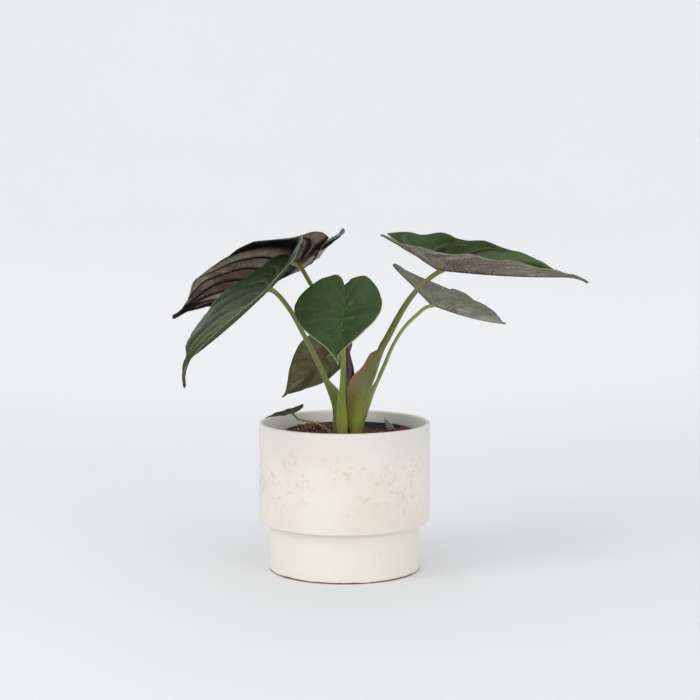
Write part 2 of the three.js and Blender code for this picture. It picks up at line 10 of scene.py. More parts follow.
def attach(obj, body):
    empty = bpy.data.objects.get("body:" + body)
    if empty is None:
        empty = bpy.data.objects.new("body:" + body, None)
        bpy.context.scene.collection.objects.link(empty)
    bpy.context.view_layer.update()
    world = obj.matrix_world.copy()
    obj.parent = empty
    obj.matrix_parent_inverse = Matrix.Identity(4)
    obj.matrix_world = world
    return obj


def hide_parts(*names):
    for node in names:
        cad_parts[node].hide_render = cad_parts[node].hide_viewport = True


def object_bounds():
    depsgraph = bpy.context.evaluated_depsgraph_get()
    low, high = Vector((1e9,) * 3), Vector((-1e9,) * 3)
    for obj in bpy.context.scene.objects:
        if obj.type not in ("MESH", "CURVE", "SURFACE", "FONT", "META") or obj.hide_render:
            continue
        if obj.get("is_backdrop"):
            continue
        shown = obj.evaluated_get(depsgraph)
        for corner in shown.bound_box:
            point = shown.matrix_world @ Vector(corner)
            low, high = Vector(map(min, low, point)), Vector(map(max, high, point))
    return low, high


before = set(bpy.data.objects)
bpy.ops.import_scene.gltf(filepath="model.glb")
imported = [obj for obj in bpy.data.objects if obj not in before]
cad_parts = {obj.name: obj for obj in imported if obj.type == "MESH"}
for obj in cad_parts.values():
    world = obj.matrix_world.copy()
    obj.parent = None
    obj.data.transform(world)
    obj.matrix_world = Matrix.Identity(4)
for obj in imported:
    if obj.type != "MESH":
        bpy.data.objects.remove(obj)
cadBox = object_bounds()
mm = 0.001
chance = random.Random(41)


# small helpers for modelling

def clearSelection():
    if bpy.context.object and bpy.context.object.mode != "OBJECT":
        bpy.ops.object.mode_set(mode="OBJECT")
    bpy.ops.object.select_all(action="DESELECT")


def pick(piece):
    clearSelection()
    piece.select_set(True)
    bpy.context.view_layer.objects.active = piece
    return piece


def rename(name):
    piece = bpy.context.object
    piece.name = name
    piece.data.name = name
    return piece


@contextlib.contextmanager
def editing(piece, start="SELECT", by="VERT"):
    # edit mode, with everything selected, or nothing, or what the mesh already says
    pick(piece)
    bpy.ops.object.mode_set(mode="EDIT")
    if start:
        bpy.ops.mesh.select_all(action=start)
    bpy.ops.mesh.select_mode(type=by)
    yield
    bpy.ops.mesh.select_mode(type="VERT")
    bpy.ops.object.mode_set(mode="OBJECT")


def applyPlace(piece):
    pick(piece)
    bpy.ops.object.transform_apply(location=True, rotation=True, scale=True)


def mergeDoubles(piece, distance=0.002 * mm):
    with editing(piece):
        bpy.ops.mesh.remove_doubles(threshold=distance)


def closeEnds(piece):
    with editing(piece, "DESELECT", "EDGE"):
        bpy.ops.mesh.select_non_manifold()
        bpy.ops.mesh.fill_holes(sides=0)


def faceOutwards(piece):
    with editing(piece):
        bpy.ops.mesh.normals_make_consistent(inside=False)


def applyModifiers(piece):
    pick(piece)
    for modifier in list(piece.modifiers):
        bpy.ops.object.modifier_apply(modifier=modifier.name)


def shade(piece, angle=None):
    pick(piece)
    if angle:
        bpy.ops.object.shade_smooth_by_angle(angle=math.radians(angle))
    else:
        bpy.ops.object.shade_smooth()


def shapedGrid(name, columns, rows, place):
    # a grid whose points are moved to place(u, v), u along its columns and v along its rows, in millimetres
    clearSelection()
    bpy.ops.mesh.primitive_grid_add(x_subdivisions=columns, y_subdivisions=rows, size=1)
    piece = rename(name)
    flat = np.empty(len(piece.data.vertices) * 3)
    piece.data.vertices.foreach_get("co", flat)
    u = np.round((flat[0::3] + 0.5) * columns) / columns
    v = np.round((flat[1::3] + 0.5) * rows) / rows
    piece.data.vertices.foreach_set("co", (place(u, v) * mm).ravel())
    return piece, u


def keepValues(piece, name, *columns):
    # three columns are kept as a vector on each point, and one as a number
    kind, field = ("FLOAT_VECTOR", "vector") if len(columns) == 3 else ("FLOAT", "value")
    layer = piece.data.attributes.new(name, kind, "POINT")
    layer.data.foreach_set(field, np.stack(columns, axis=1).astype(np.float32).ravel())


def turnedPiece(name, profile, sides):
    # extrudes a ring of points through [radius, height] pairs, as on a wheel
    clearSelection()
    first = profile[0]
    bpy.ops.mesh.primitive_circle_add(vertices=sides, radius=first[0] * mm, location=(0, 0, first[1] * mm))
    piece = rename(name)
    bpy.ops.object.transform_apply(location=True, rotation=False, scale=False)
    with editing(piece):
        for (radius, height), (wider, higher) in zip(profile, profile[1:]):
            rise, share = (higher - height) * mm, wider / radius
            bpy.ops.mesh.extrude_edges_move(TRANSFORM_OT_translate={"value": (0, 0, rise)})
            bpy.ops.transform.resize(value=(share, share, 1), center_override=(0, 0, higher * mm))
    closeEnds(piece)
    faceOutwards(piece)
    shade(piece, 40)
    return piece


def roundedStep(radius, height, size, start, stop, count):
    # points of a rounded edge about [radius, height]
    turns = [math.radians(start + (stop - start) * i / count) for i in range(count + 1)]
    return [(radius + size * math.cos(t), height + size * math.sin(t)) for t in turns]


def settle(piece, slot, *nodes):
    # the CAD pieces that it stands for, if any, are hidden, and it hangs on the root body; slot is not used
    if nodes:
        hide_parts(*nodes)
    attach(piece, "root")


def smoothstep(x, low, high):
    share = np.clip((x - low) / (high - low), 0, 1)
    return share * share * (3 - 2 * share)


# small helpers for materials: tones are written as they are seen on screen, from 0 to 255

def paint(red, green, blue):
    levels = [c / 255 for c in (red, green, blue)]
    return tuple(c / 12.92 if c <= 0.04045 else ((c + 0.055) / 1.055) ** 2.4 for c in levels) + (1,)


class Value:
    # a socket on its way through a shader: arithmetic on it adds Math nodes to its tree
    def __init__(self, socket):
        self.socket, self.tree = socket, socket.id_data

    def maths(self, operation, *others):
        return wire(self.tree, "Math", dict(enumerate([self, *others])), operation=operation)

    def __add__(self, other):
        return self.maths("ADD", other)

    def __sub__(self, other):
        return self.maths("SUBTRACT", other)

    def __rsub__(self, other):
        return self.maths("MULTIPLY_ADD", -1.0, other)

    def __mul__(self, other):
        return self.maths("MULTIPLY", other)

    def __truediv__(self, other):
        return self.maths("DIVIDE", other)

    def ramp(self, low, high, start=0.0, stop=1.0):
        # start below low, stop above high, and smooth between them
        inputs = {"Value": self, "From Min": low, "From Max": high, "To Min": start, "To Max": stop}
        return wire(self.tree, "MapRange", inputs, interpolation_type="SMOOTHSTEP")

    def split(self, kind="SeparateXYZ"):
        return [Value(s) for s in wire(self.tree, kind, {0: self}).socket.node.outputs]


def feed(made, inputs):
    for key, value in inputs.items():
        socket = made.inputs[key]
        if isinstance(value, Value):
            value.tree.links.new(value.socket, socket)
        else:
            socket.default_value = paint(*value) if socket.type == "RGBA" else value


def wire(tree, kind, inputs={}, out=0, **settings):
    # adds a node, feeds it, and gives back one of its outputs
    made = tree.nodes.new("ShaderNode" + kind)
    for key, value in settings.items():
        setattr(made, key, value)
    feed(made, inputs)
    return Value(made.outputs[out]) if made.outputs else None


def mixed(share, a, b, way="MIX"):
    tree = next(v.tree for v in (share, a, b) if isinstance(v, Value))
    return wire(tree, "Mix", {0: share, 6: a, 7: b}, 2, data_type="RGBA", blend_type=way)


def layered(colour, layers):
    # lays each tone over the last colour, as far as its mask and its share say
    for mask, tone, share in layers:
        colour = mixed(mask * share, colour, tone)
    return colour


def noiseOf(place, scale, detail=3.0, rough=0.55):
    inputs = {"Vector": place, "Scale": scale, "Detail": detail, "Roughness": rough}
    return wire(place.tree, "TexNoise", inputs)


def cellsOf(place, scale):
    # how far each place is from its cell's middle, and the cell's own tint
    made = wire(place.tree, "TexVoronoi", {"Vector": place, "Scale": scale}).socket.node
    return Value(made.outputs["Distance"]), Value(made.outputs["Color"])


def cellEdges(place, scale):
    inputs = {"Vector": place, "Scale": scale}
    return wire(place.tree, "TexVoronoi", inputs, "Distance", feature="DISTANCE_TO_EDGE")


def ringsOf(place, scale, distortion, detail):
    inputs = {"Vector": place, "Scale": scale, "Distortion": distortion, "Detail": detail}
    return wire(place.tree, "TexWave", inputs, "Fac", bands_direction="Z")


def stretched(place, scale, turn=(0, 0, 0)):
    return wire(place.tree, "Mapping", {"Vector": place, "Rotation": turn, "Scale": scale})


def attribute(tree, name, out="Vector"):
    return wire(tree, "Attribute", out=out, attribute_name=name)


def objectPlace(tree):
    return wire(tree, "TexCoord", out="Object")


def makeGroup(name, inputs, outputs, build):
    # inputs holds each input's usual value, and none for a place
    group = bpy.data.node_groups.new(name, "ShaderNodeTree")
    for label, value in inputs.items():
        kind = "NodeSocketVector" if value is None else "NodeSocketFloat"
        socket = group.interface.new_socket(name=label, in_out="INPUT", socket_type=kind)
        if value is not None:
            socket.default_value = value
    for label in outputs:
        group.interface.new_socket(name=label, in_out="OUTPUT", socket_type="NodeSocketFloat")
    given = group.nodes.new("NodeGroupInput").outputs
    made = build(*[Value(given[label]) for label in inputs])
    feed(group.nodes.new("NodeGroupOutput"), dict(zip(outputs, made)))
    return group


def useGroup(tree, group, inputs):
    placed = tree.nodes.new("ShaderNodeGroup")
    placed.node_tree = group
    feed(placed, inputs)
    return {socket.name: Value(socket) for socket in placed.outputs}


def newMaterial(name):
    # the material, and the place on its object that its textures start from
    material = bpy.data.materials.new(name)
    material.use_nodes = True
    material.node_tree.nodes.clear()
    return material, objectPlace(material.node_tree)


def surface(colour, rough, height=None, bump=0.3, depth=0.3, shine=0.5):
    # the shader itself: colour and roughness may be linked, and the shine is set on its socket
    inputs = {"Base Color": colour, "Roughness": rough, "Specular IOR Level": shine}
    if height:
        relief = {"Strength": bump, "Distance": depth * mm, "Height": height}
        inputs["Normal"] = wire(colour.tree, "Bump", relief)
    wire(colour.tree, "OutputMaterial", {0: wire(colour.tree, "BsdfPrincipled", inputs)})


def dress(piece, *materials):
    piece.data.materials.clear()
    for material in materials:
        piece.data.materials.append(material)


# studio: a wide shallow bowl as floor and backdrop, the camera and the lights

studio = {
    "floorTone": (229, 230, 231), "farTone": (232, 233, 234), "flatRadius": 1.6, "bowlRadius": 3.2,
    "camera": (0.0048, -1.530, 0.3535), "lens": 90.72, "sensor": 36, "downwards": 6.0,
    "air": (0.958, 0.965, 0.98, 1), "airStrength": 0.86,  # light, not a tone as seen on screen
    "lights": {  # each one's place, target, size and watts
        "leftSoftbox": ((-1.3, -1.6, 0.6), (0, 0, 0.12), (1.4, 1.0), 8.2),
        "rightSoftbox": ((1.4, -1.6, 0.6), (0, 0, 0.12), (1.4, 1.0), 9.5),
        "highSoftbox": ((-1.4, -0.9, 1.3), (0, 0, 0.13), (0.6, 0.6), 6.5),
        "backSoftbox": ((0, 1.6, 1.3), (0, 0, 0.2), (2.0, 1.0), 2.8),
        "wallSoftbox": ((0, 1.2, 1.5), (0, 3.2, 0.6), (3.0, 0.8), 7.5),
    },
}


def makeFloor(look):
    clearSelection()
    flat, bend = look["flatRadius"], look["bowlRadius"] - look["flatRadius"]
    bpy.ops.mesh.primitive_circle_add(vertices=96, radius=flat, fill_type="NGON")
    floor = rename("studioFloor")
    with editing(floor):
        reach, height = flat, 0.0
        for turn in range(10, 91, 10):
            # the bend from the floor up to the wall
            wide = flat + bend * math.sin(math.radians(turn))
            high = bend * (1 - math.cos(math.radians(turn)))
            bpy.ops.mesh.extrude_edges_move(TRANSFORM_OT_translate={"value": (0, 0, high - height)})
            bpy.ops.transform.resize(value=(wide / reach, wide / reach, 1), center_override=(0, 0, high))
            bpy.ops.mesh.select_mode(type="EDGE")
            reach, height = wide, high
    shade(floor)
    material, place = newMaterial("studioPaper")
    surface(mixed(noiseOf(place, 1.4, 2), look["floorTone"], look["farTone"]), 0.85)
    dress(floor, material)
    floor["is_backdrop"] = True


def makeLight(name, place, target, size, watts):
    clearSelection()
    bpy.ops.object.light_add(type="AREA", location=place)
    light = rename(name)
    light.data.shape = "RECTANGLE"
    light.data.size, light.data.size_y = size
    light.data.energy = watts
    light.rotation_euler = (Vector(target) - Vector(place)).to_track_quat("-Z", "Y").to_euler()


makeFloor(studio)
clearSelection()
bpy.ops.object.camera_add(location=studio["camera"], rotation=(math.radians(90 - studio["downwards"]), 0, 0))
camera = rename("studioCamera")
camera.data.lens = studio["lens"]
camera.data.sensor_width = studio["sensor"]
bpy.context.scene.camera = camera
for name, light in studio["lights"].items():
    makeLight(name, *light)
world = bpy.data.worlds.new("studioAir")
bpy.context.scene.world = world
world.use_nodes = True
world.node_tree.nodes["Background"].inputs[0].default_value = studio["air"]
world.node_tree.nodes["Background"].inputs[1].default_value = studio["airStrength"]
bpy.context.scene.view_settings.view_transform = "Standard"
print("studio, camera and lights are in place")


# shader groups that several materials share

def leafLines(ribWidth, veinWidth, netScale):
    # the lines of a leaf, from the distances in millimetres that each blade keeps in its leafPlace attribute
    tree = ribWidth.tree
    place = objectPlace(tree)
    veinAway, ribAway, marginAway = attribute(tree, "leafPlace").split()
    around, halves, _ = wire(tree, "UVMap").split()
    halves = halves * 2.0 - 1.0
    veinAway = veinAway + (noiseOf(place, 260) * 0.7 - 0.35)
    rib = 1 - (ribAway / (ribWidth * around.ramp(0.25, 1.0, 1.0, 0.25))).ramp(0.35, 1.0)
    thinner = veinWidth * halves.maths("ABSOLUTE").ramp(0.0, 1.0, 1.5, 0.6)
    vein = (1 - (veinAway / thinner).ramp(0.3, 1.3)) * marginAway.ramp(0.8, 2.6)
    collector = 1 - (marginAway - 2.4).maths("ABSOLUTE").ramp(0.1, 0.45)
    vein = vein.maths("MAXIMUM", collector * 0.45)

    bend = wire(tree, "TexNoise", {"Vector": place, "Scale": 180.0, "Detail": 2.0}, "Color")
    bend = wire(tree, "VectorMath", {0: bend, 3: 0.0022}, operation="SCALE")
    warped = wire(tree, "VectorMath", {0: place, 1: bend}, operation="ADD")
    fine = 1 - cellEdges(warped, netScale * 2.6).ramp(0.0, 0.14)
    net = (1 - cellEdges(warped, netScale).ramp(0.0, 0.11)).maths("MAXIMUM", fine * 0.4)
    margin = 1 - marginAway.ramp(0.35, 0.95)
    mottle = noiseOf(place, 75, 5, 0.6) * 0.65 + noiseOf(place, 420, 3) * 0.35
    relief = vein * 0.55 + net * 0.22 + noiseOf(place, 1500, 2) * 0.12
    return rib, vein, net, margin, mottle, veinAway.ramp(0.2, 5.0), around, halves, relief


def speckMask(place, scale, size, share):
    # scattered fine spots of uneven size: glaze specks, dust, pores
    away, tint = cellsOf(place, scale)
    there, swell, _ = tint.split("SeparateColor")[:3]
    spot = 1 - (away / (size * (swell * 0.8 + 0.3))).ramp(0.6, 1.0)
    return [spot * there.maths("LESS_THAN", share)]


leafFigure = makeGroup(
    "leafFigure", {"Rib Width": 1.6, "Vein Width": 0.5, "Net Scale": 330.0},
    ["Rib", "Vein", "Net", "Margin", "Mottle", "Panel", "Around", "Halves", "Relief"], leafLines)
specks = makeGroup(
    "scatteredSpecks", {"Vector": None, "Scale": 300.0, "Size": 0.2, "Share": 0.5}, ["Mask"], speckMask)


def scattered(place, scale, size, share):
    inputs = {"Vector": place, "Scale": scale, "Size": size, "Share": share}
    return useGroup(place.tree, specks, inputs)["Mask"]


def blotches(lines, spots):
    # soft areas, each on one half of a leaf, about a place around and across it: a few carry the leaf's
    # own colour, and most are painted shade in its folds and hollows and painted light on its lit folds
    ragged = noiseOf(objectPlace(lines["Around"].tree), 60, 3) * 1.2 - 0.6
    layers = []
    for side, around, across, size, stretch, tone, share in spots:
        here = (lines["Around"] - around) / size
        off = (lines["Halves"] - side * across) / stretch
        layers.append(((here * here + off * off + ragged).ramp(1.6, 0.1), tone, share))
    return layers


# planter

planter = {
    "height": 130, "bandRadius": 75, "footRadius": 66, "step": 43, "bandWall": 3.6, "footWall": 5,
    "floor": 7, "edge": 1.6, "sides": 192, "wobble": 0.22, "shrink": 0.15,
    "glaze": (228, 224, 215), "warm": (222, 215, 202), "blush": (210, 182, 160), "lipShadeTone": (216, 213, 206),
    "footLightTone": (228, 225, 215), "speck": (150, 100, 70), "clay": (126, 72, 54), "inside": (250, 247, 238),
}


def stonewareGlaze(look):
    material, place = newMaterial("stonewareGlaze")
    x, y, z = place.split()
    # faint rusty blooms gather at the middle of the band
    bloom = noiseOf(place, 30, 3).ramp(0.42, 0.58) * noiseOf(place, 150, 3, 0.6).ramp(0.5, 0.66)
    belt = z.ramp(0.048, 0.075) * z.ramp(0.118, 0.1)
    near = noiseOf(place, 20, 2).ramp(0.45, 0.7) * 0.85 + 0.15
    pores, dots = scattered(place, 260.0, 0.17, 0.2), scattered(place, 620.0, 0.2, 0.12)
    spots = pores.maths("MAXIMUM", dots * 0.6) * near
    line = noiseOf(place, 55, 3) * 0.0022 - 0.0001  # where the glaze ends over the bare foot
    reach = (x * x + y * y).maths("SQRT")
    colour = mixed(noiseOf(place, 16, 4).ramp(0.3, 0.75), look["glaze"], look["warm"])
    colour = layered(colour, [
        # the band is painted darker from 90 mm up towards the lip, as painted shade
        (z.ramp(0.09, 0.128), look["lipShadeTone"], 0.7),
        # the foot below the step is painted a little lighter, as painted light against the shade of the band
        # above it
        (z.ramp(0.043, 0.04), look["footLightTone"], 0.9),
        (bloom * belt, look["blush"], 0.55),
        (spots, look["speck"], 0.5),
        ((z - line).ramp(0.0, 0.0005, 1.0, 0.0), look["clay"], 1.0),
        # the inner wall keeps the glaze's own tone, painted much lighter as painted light falling on it from
        # the upper left
        (reach.ramp(0.0733, 0.0716) * z.ramp(0.044, 0.046), look["inside"], 1.0),
    ])
    height = noiseOf(place, 900, 4, 0.65) * 0.7 + ringsOf(place, 38.0, 3.0, 2.0) * 0.25 - spots * 0.6
    surface(colour, noiseOf(place, 120, 4).ramp(0.3, 0.7, 0.5, 0.66), height, 0.22, 0.3)
    return material


def makePlanter(look):
    band, foot, step, edge = look["bandRadius"], look["footRadius"], look["step"], look["edge"]
    inner, footInner, lip = band - look["bandWall"], foot - look["footWall"], look["bandWall"] / 2
    profile = [(2, 0.9), (foot - 12, 0.9), (foot - 10.5, 0.55), (foot - 9.6, 0.0), (foot - 2.2, 0.0)]
    profile += roundedStep(foot - 1.2, 1.2, 1.2, -75, 0, 5)
    profile += [(foot, h) for h in range(5, int(step) - 3, 4)]
    profile += roundedStep(foot + 1.6, step - 1.6, 1.6, 180, 100, 5)
    profile += [(foot + 4, step + 0.02)]
    profile += roundedStep(band - edge, step + edge, edge, -84, 0, 7)
    profile += [(band, h) for h in range(int(step) + 5, look["height"] - 4, 4)]
    profile += roundedStep(band - lip, look["height"] - lip, lip, 0, 180, 14)
    profile += [(inner, h) for h in range(look["height"] - 5, int(step) + 13, -4)]
    profile += [(inner - 0.6, step + 10), (footInner + 1.2, step + 1.6), (footInner, step - 1.5)]
    profile += [(footInner, h) for h in range(int(step) - 5, 12, -5)]
    profile += roundedStep(footInner - 4, look["floor"] + 4, 4, 0, -90, 6)
    profile += [(footInner - 20, look["floor"]), (2, look["floor"])]
    piece = turnedPiece("planterShell", profile, look["sides"])
    # the clay is a little out of true, as thrown ware is
    for point in piece.data.vertices:
        turn = math.atan2(point.co.y, point.co.x)
        reach = math.hypot(point.co.x, point.co.y)
        if reach > 0.02:
            around = Vector((math.cos(turn) * 1.3, math.sin(turn) * 1.3, point.co.z * 14))
            change = look["wobble"] * noise.noise(around) * min(1, point.co.z / (3 * mm))
            point.co.x *= 1 + (change - look["shrink"]) * mm / reach
            point.co.y *= 1 + (change - look["shrink"]) * mm / reach
    dress(piece, stonewareGlaze(look))
    settle(piece, "stoneware", "planter")


makePlanter(planter)
print("planter is turned and glazed")


# nursery pot

nurseryPot = {
    "rimRadius": 57.5, "bodyRadius": 55.5, "baseRadius": 43, "wall": 1.2, "rim": 7, "top": 121.5, "base": 7.3,
    "feet": 2.2, "drain": (6, 3.5, 22), "middle": (4.5, 1.5), "sides": 128, "cuts": 16,
    "plastic": (26, 27, 29), "dusty": (60, 55, 50),
}


def blackPlastic(look):
    material, place = newMaterial("blackPlastic")
    scuffs = noiseOf(stretched(place, (1, 1, 9)), 90, 5, 0.5)
    colour = mixed(scuffs.ramp(0.5, 0.8) * 0.5, look["plastic"], look["dusty"])
    surface(colour, scuffs.ramp(0.3, 0.7, 0.34, 0.52), noiseOf(place, 1400, 2), 0.15, 0.15)
    return material


def makeNurseryPot(look):
    rim, body, base, wall, top = (look[k] for k in ("rimRadius", "bodyRadius", "baseRadius", "wall", "top"))
    low, feet, under = look["base"], look["feet"], top - look["rim"]
    slope = [(base + (body - base) * i / look["cuts"], i / look["cuts"]) for i in range(1, look["cuts"])]
    profile = [(2, low + feet), (base - 14, low + feet), (base - 11, low + 0.3), (base - 9, low)]
    profile += [(base - 1.5, low), (base, low + 1.4)]
    profile += [(reach, low + 1.4 + (under - low - 1.4) * share) for reach, share in slope]
    profile += [(body, under), (rim - 0.3, under), (rim, under + 0.4), (rim, top - 0.6)]
    profile += roundedStep(rim - 0.9, top - 0.9, 0.9, 20, 160, 6)
    profile += [(rim - 1.8, top - 1.6), (rim - 1.8, under + wall + 0.4), (body - wall, under - wall)]
    slope.reverse()
    profile += [(reach - wall, low + 2 + (under - wall - low - 2) * share) for reach, share in slope]
    profile += [(base - wall - 0.6, low + wall + 0.3), (base - wall - 2, low + wall), (base - 11, low + wall)]
    profile += [(base - 14, low + feet + wall), (2, low + feet + wall)]
    piece = turnedPiece("nurseryPotShell", profile, look["sides"])
    holes, radius, ring = look["drain"]
    for i in range(holes):
        turn = 2 * math.pi * i / holes
        clearSelection()
        bpy.ops.mesh.primitive_cylinder_add(
            vertices=32, radius=radius * mm, depth=14 * mm,
            location=(ring * mm * math.cos(turn), ring * mm * math.sin(turn), (low + feet) * mm))
        drill = rename("drainDrill")
        cut = piece.modifiers.new("drain", "BOOLEAN")
        cut.object, cut.operation, cut.solver = drill, "DIFFERENCE", "EXACT"
        applyModifiers(piece)
        bpy.data.objects.remove(drill)
    piece.location = (look["middle"][0] * mm, look["middle"][1] * mm, 0)
    applyPlace(piece)
    dress(piece, blackPlastic(look))
    settle(piece, "black_plastic", "nursery_pot")


makeNurseryPot(nurseryPot)
print("nursery pot is moulded and drilled")


# soil: the bed in the pot, and the bark, coir and perlite that lie loose on it

soil = {
    "level": 116.3, "swells": [(6.5, -27, 26, 30), (6, 56, 10, 18), (-1.6, 28, 48, 18)], "crumb": 0.9,
    "radius": 53.6, "skirt": 6, "bottom": 11.6, "bottomRadius": 41.5, "cuts": 150, "tone": 0.2,
    "dark": (30, 18, 15), "brown": (108, 56, 42), "red": (172, 102, 78), "straw": (200, 160, 124),
}
bark = {
    "count": 760, "sizes": (1.1, 3.2), "reach": 54.4, "lift": 0.12, "tones": (-0.1, 0.75), "seed": 11,
    "lumps": [(1.0, 0.7, 0.45), (1.3, 0.55, 0.4), (0.8, 0.8, 0.6), (1.1, 0.9, 0.3)],
}
perlite = {
    "count": 34, "sizes": (0.9, 2.0), "reach": 52, "lift": 0.25, "tones": (0.5, 0.6), "seed": 31,
    "lumps": [(0.9, 0.8, 0.75)] * 3, "grey": (170, 160, 148), "white": (236, 233, 226),
}
coir = {
    "count": 230, "reach": 50, "farthest": 54, "joints": 7, "radius": 0.16, "rise": (0.9, 1.2), "tone": 0.75,
}
potRoom = 55.3  # what lies loose stays within this radius


def soilSurface(x, y):
    # the bed's height with its own crumbs, at one place in millimetres
    waves = math.sin(0.9 * x + 1.7 * math.sin(0.55 * y)) + math.sin(0.8 * y - 1.3 * math.sin(0.7 * x))
    rise = sum(h * math.exp(-((x - sx) ** 2 + (y - sy) ** 2) / s ** 2) for h, sx, sy, s in soil["swells"])
    here = Vector((x * 0.16, y * 0.16, 3.1))
    crumbs = noise.noise(here) * 1.1 + noise.noise(here * 2.6) * 0.9 + abs(noise.noise(here * 6.1)) * 0.8
    return soil["level"] + rise + soil["crumb"] * waves / 2 + crumbs - 0.5


def soilMix(name):
    material, place = newMaterial(name)
    clod, tint = cellsOf(place, 420.0)
    share = attribute(place.tree, "tone", "Fac") + tint.split("SeparateColor")[0] * 0.45
    share = share + (noiseOf(place, 700, 4) * 0.5 - 0.25)
    colour = mixed(share.ramp(0.15, 0.5), soil["dark"], soil["brown"])
    colour = mixed(share.ramp(0.55, 0.95), colour, soil["red"])
    colour = mixed(share.ramp(0.98, 1.25), colour, soil["straw"])
    # random patches are darkened, as painted shade of the deeper gaps between the crumbs
    deep = noiseOf(place, 130, 3).ramp(0.32, 0.62, 0.4, 1.0)
    colour = mixed(1.0, colour, wire(place.tree, "CombineColor", {0: deep, 1: deep, 2: deep}), "MULTIPLY")
    surface(colour, share.ramp(0.2, 0.8, 0.62, 0.9), noiseOf(place, 1100, 5, 0.7) + clod, 0.7, 0.5)
    return material


def perliteWhite(look):
    material, place = newMaterial("perliteWhite")
    colour = mixed(noiseOf(place, 900, 4).ramp(0.35, 0.65), look["grey"], look["white"])
    surface(colour, 0.85, noiseOf(place, 2200, 3), 0.6, 0.3)
    return material


def keepTone(piece, tone):
    keepValues(piece, "tone", np.full(len(piece.data.vertices), tone))


def makeSoilBed(look):
    radius = look["radius"]
    middleX, middleY = nurseryPot["middle"]

    def place(u, v):
        a, b = 2 * u - 1, 2 * v - 1
        x = middleX + radius * a * np.sqrt(1 - b * b / 2)
        y = middleY + radius * b * np.sqrt(1 - a * a / 2)
        return np.stack([x, y, [soilSurface(i, j) for i, j in zip(x, y)]], axis=1)

    piece, _ = shapedGrid("soilBed", look["cuts"], look["cuts"], place)
    with editing(piece, "DESELECT", "EDGE"):
        bpy.ops.mesh.select_non_manifold()
        for share in (1.0, look["bottomRadius"] / radius):
            bpy.ops.mesh.extrude_edges_move(TRANSFORM_OT_translate={"value": (0, 0, -look["skirt"] * mm)})
            bpy.ops.transform.resize(value=(share, share, 1), center_override=(middleX * mm, middleY * mm, 0))
        bpy.ops.transform.resize(value=(1, 1, 0), center_override=(0, 0, look["bottom"] * mm))
        bpy.ops.mesh.edge_face_add()
    faceOutwards(piece)
    shade(piece)
    keepTone(piece, look["tone"])
    dress(piece, soilMix("soilMix"))
    settle(piece, "soil", "soil")


def lumpModel(stretch, seed):
    # one lump: a cube, cut once, dented, with its edges worn
    clearSelection()
    bpy.ops.mesh.primitive_cube_add(size=1)
    piece = rename("lumpModel")
    with editing(piece):
        bpy.ops.mesh.subdivide(number_cuts=1, fractal=0.5, seed=seed)
        bpy.ops.mesh.vertices_smooth(factor=0.35)
        bpy.ops.transform.resize(value=stretch)
    return piece


def placeInPot(reach):
    turn, away = chance.uniform(0, 2 * math.pi), reach * math.sqrt(chance.random())
    middleX, middleY = nurseryPot["middle"]
    return middleX + away * math.cos(turn), middleY + away * math.sin(turn), away


def scatter(name, look, material):
    models = [lumpModel(stretch, look["seed"] + i) for i, stretch in enumerate(look["lumps"])]
    copies = []
    while len(copies) < look["count"]:
        x, y, away = placeInPot(look["reach"])
        size = chance.uniform(*look["sizes"]) * chance.uniform(0.6, 1.0)
        crowded = any(math.hypot(x - fx, y - fy) < room + size * 0.6 for fx, fy, room in stalkFeet)
        if crowded or away + size > potRoom:
            continue
        model = chance.choice(models)
        piece = model.copy()
        piece.data = model.data.copy()
        bpy.context.collection.objects.link(piece)
        spin = [chance.uniform(0, 2 * math.pi) for _ in range(3)]
        piece.rotation_euler = (spin[0] * 0.12, spin[1] * 0.12, spin[2])
        piece.scale = [size * mm * chance.uniform(0.8, 1.2) for _ in range(3)]
        piece.location = (x * mm, y * mm, (soilSurface(x, y) + size * look["lift"]) * mm)
        keepTone(piece, chance.uniform(*look["tones"]))
        copies.append(piece)
    clearSelection()
    for piece in copies:
        piece.select_set(True)
    bpy.context.view_layer.objects.active = copies[0]
    bpy.ops.object.join()
    joined = rename(name)
    applyPlace(joined)
    for model in models:
        bpy.data.objects.remove(model)
    dress(joined, material)
    settle(joined, "soil")


def makeFibres(look, material):
    # coir strands: thin curved wires that lie over the crumbs
    middleX, middleY = nurseryPot["middle"]
    low, arch = look["rise"]
    line = bpy.data.curves.new("coirStrands", "CURVE")
    line.dimensions = "3D"
    line.bevel_depth = look["radius"] * mm
    line.bevel_resolution = 0
    line.use_fill_caps = True
    strands = []
    for _ in range(look["count"]):
        x, y, _ = placeInPot(look["reach"])
        heading = chance.uniform(0, 2 * math.pi)
        bend, step = chance.uniform(-0.3, 0.3), chance.uniform(0.9, 1.9)
        points = []
        for i in range(look["joints"]):
            if math.hypot(x - middleX, y - middleY) > look["farthest"]:
                break
            rise = low + arch * math.sin(math.pi * i / (look["joints"] - 1)) * chance.uniform(0.2, 1.0)
            points.append((x * mm, y * mm, (soilSurface(x, y) + rise) * mm))
            x, y = x + step * math.cos(heading), y + step * math.sin(heading)
            heading += bend + chance.uniform(-0.2, 0.2)
        if len(points) > 3:
            strands.append(points)
    for points in strands:
        spline = line.splines.new("POLY")
        spline.points.add(len(points) - 1)
        for point, place in zip(spline.points, points):
            point.co = (*place, 1)
            point.radius = chance.uniform(0.7, 1.3)
    piece = bpy.data.objects.new("coirStrands", line)
    bpy.context.collection.objects.link(piece)
    pick(piece)
    bpy.ops.object.convert(target="MESH")
    piece = rename("coirStrands")
    keepTone(piece, look["tone"])
    dress(piece, material)
    settle(piece, "soil")


# leaves: the stalk's way and the blade's sheet are worked out from each leaf's own dictionary

sheet = {"thickness": 0.6, "midrib": 1.25, "vein": 0.4, "veins": 10, "behind": 0.3, "deepest": 2.2}
stalkFoot = 108.3  # the stalks end on the rootstock, under the soil
ringStep = 2.6  # between two rings of points on a stalk


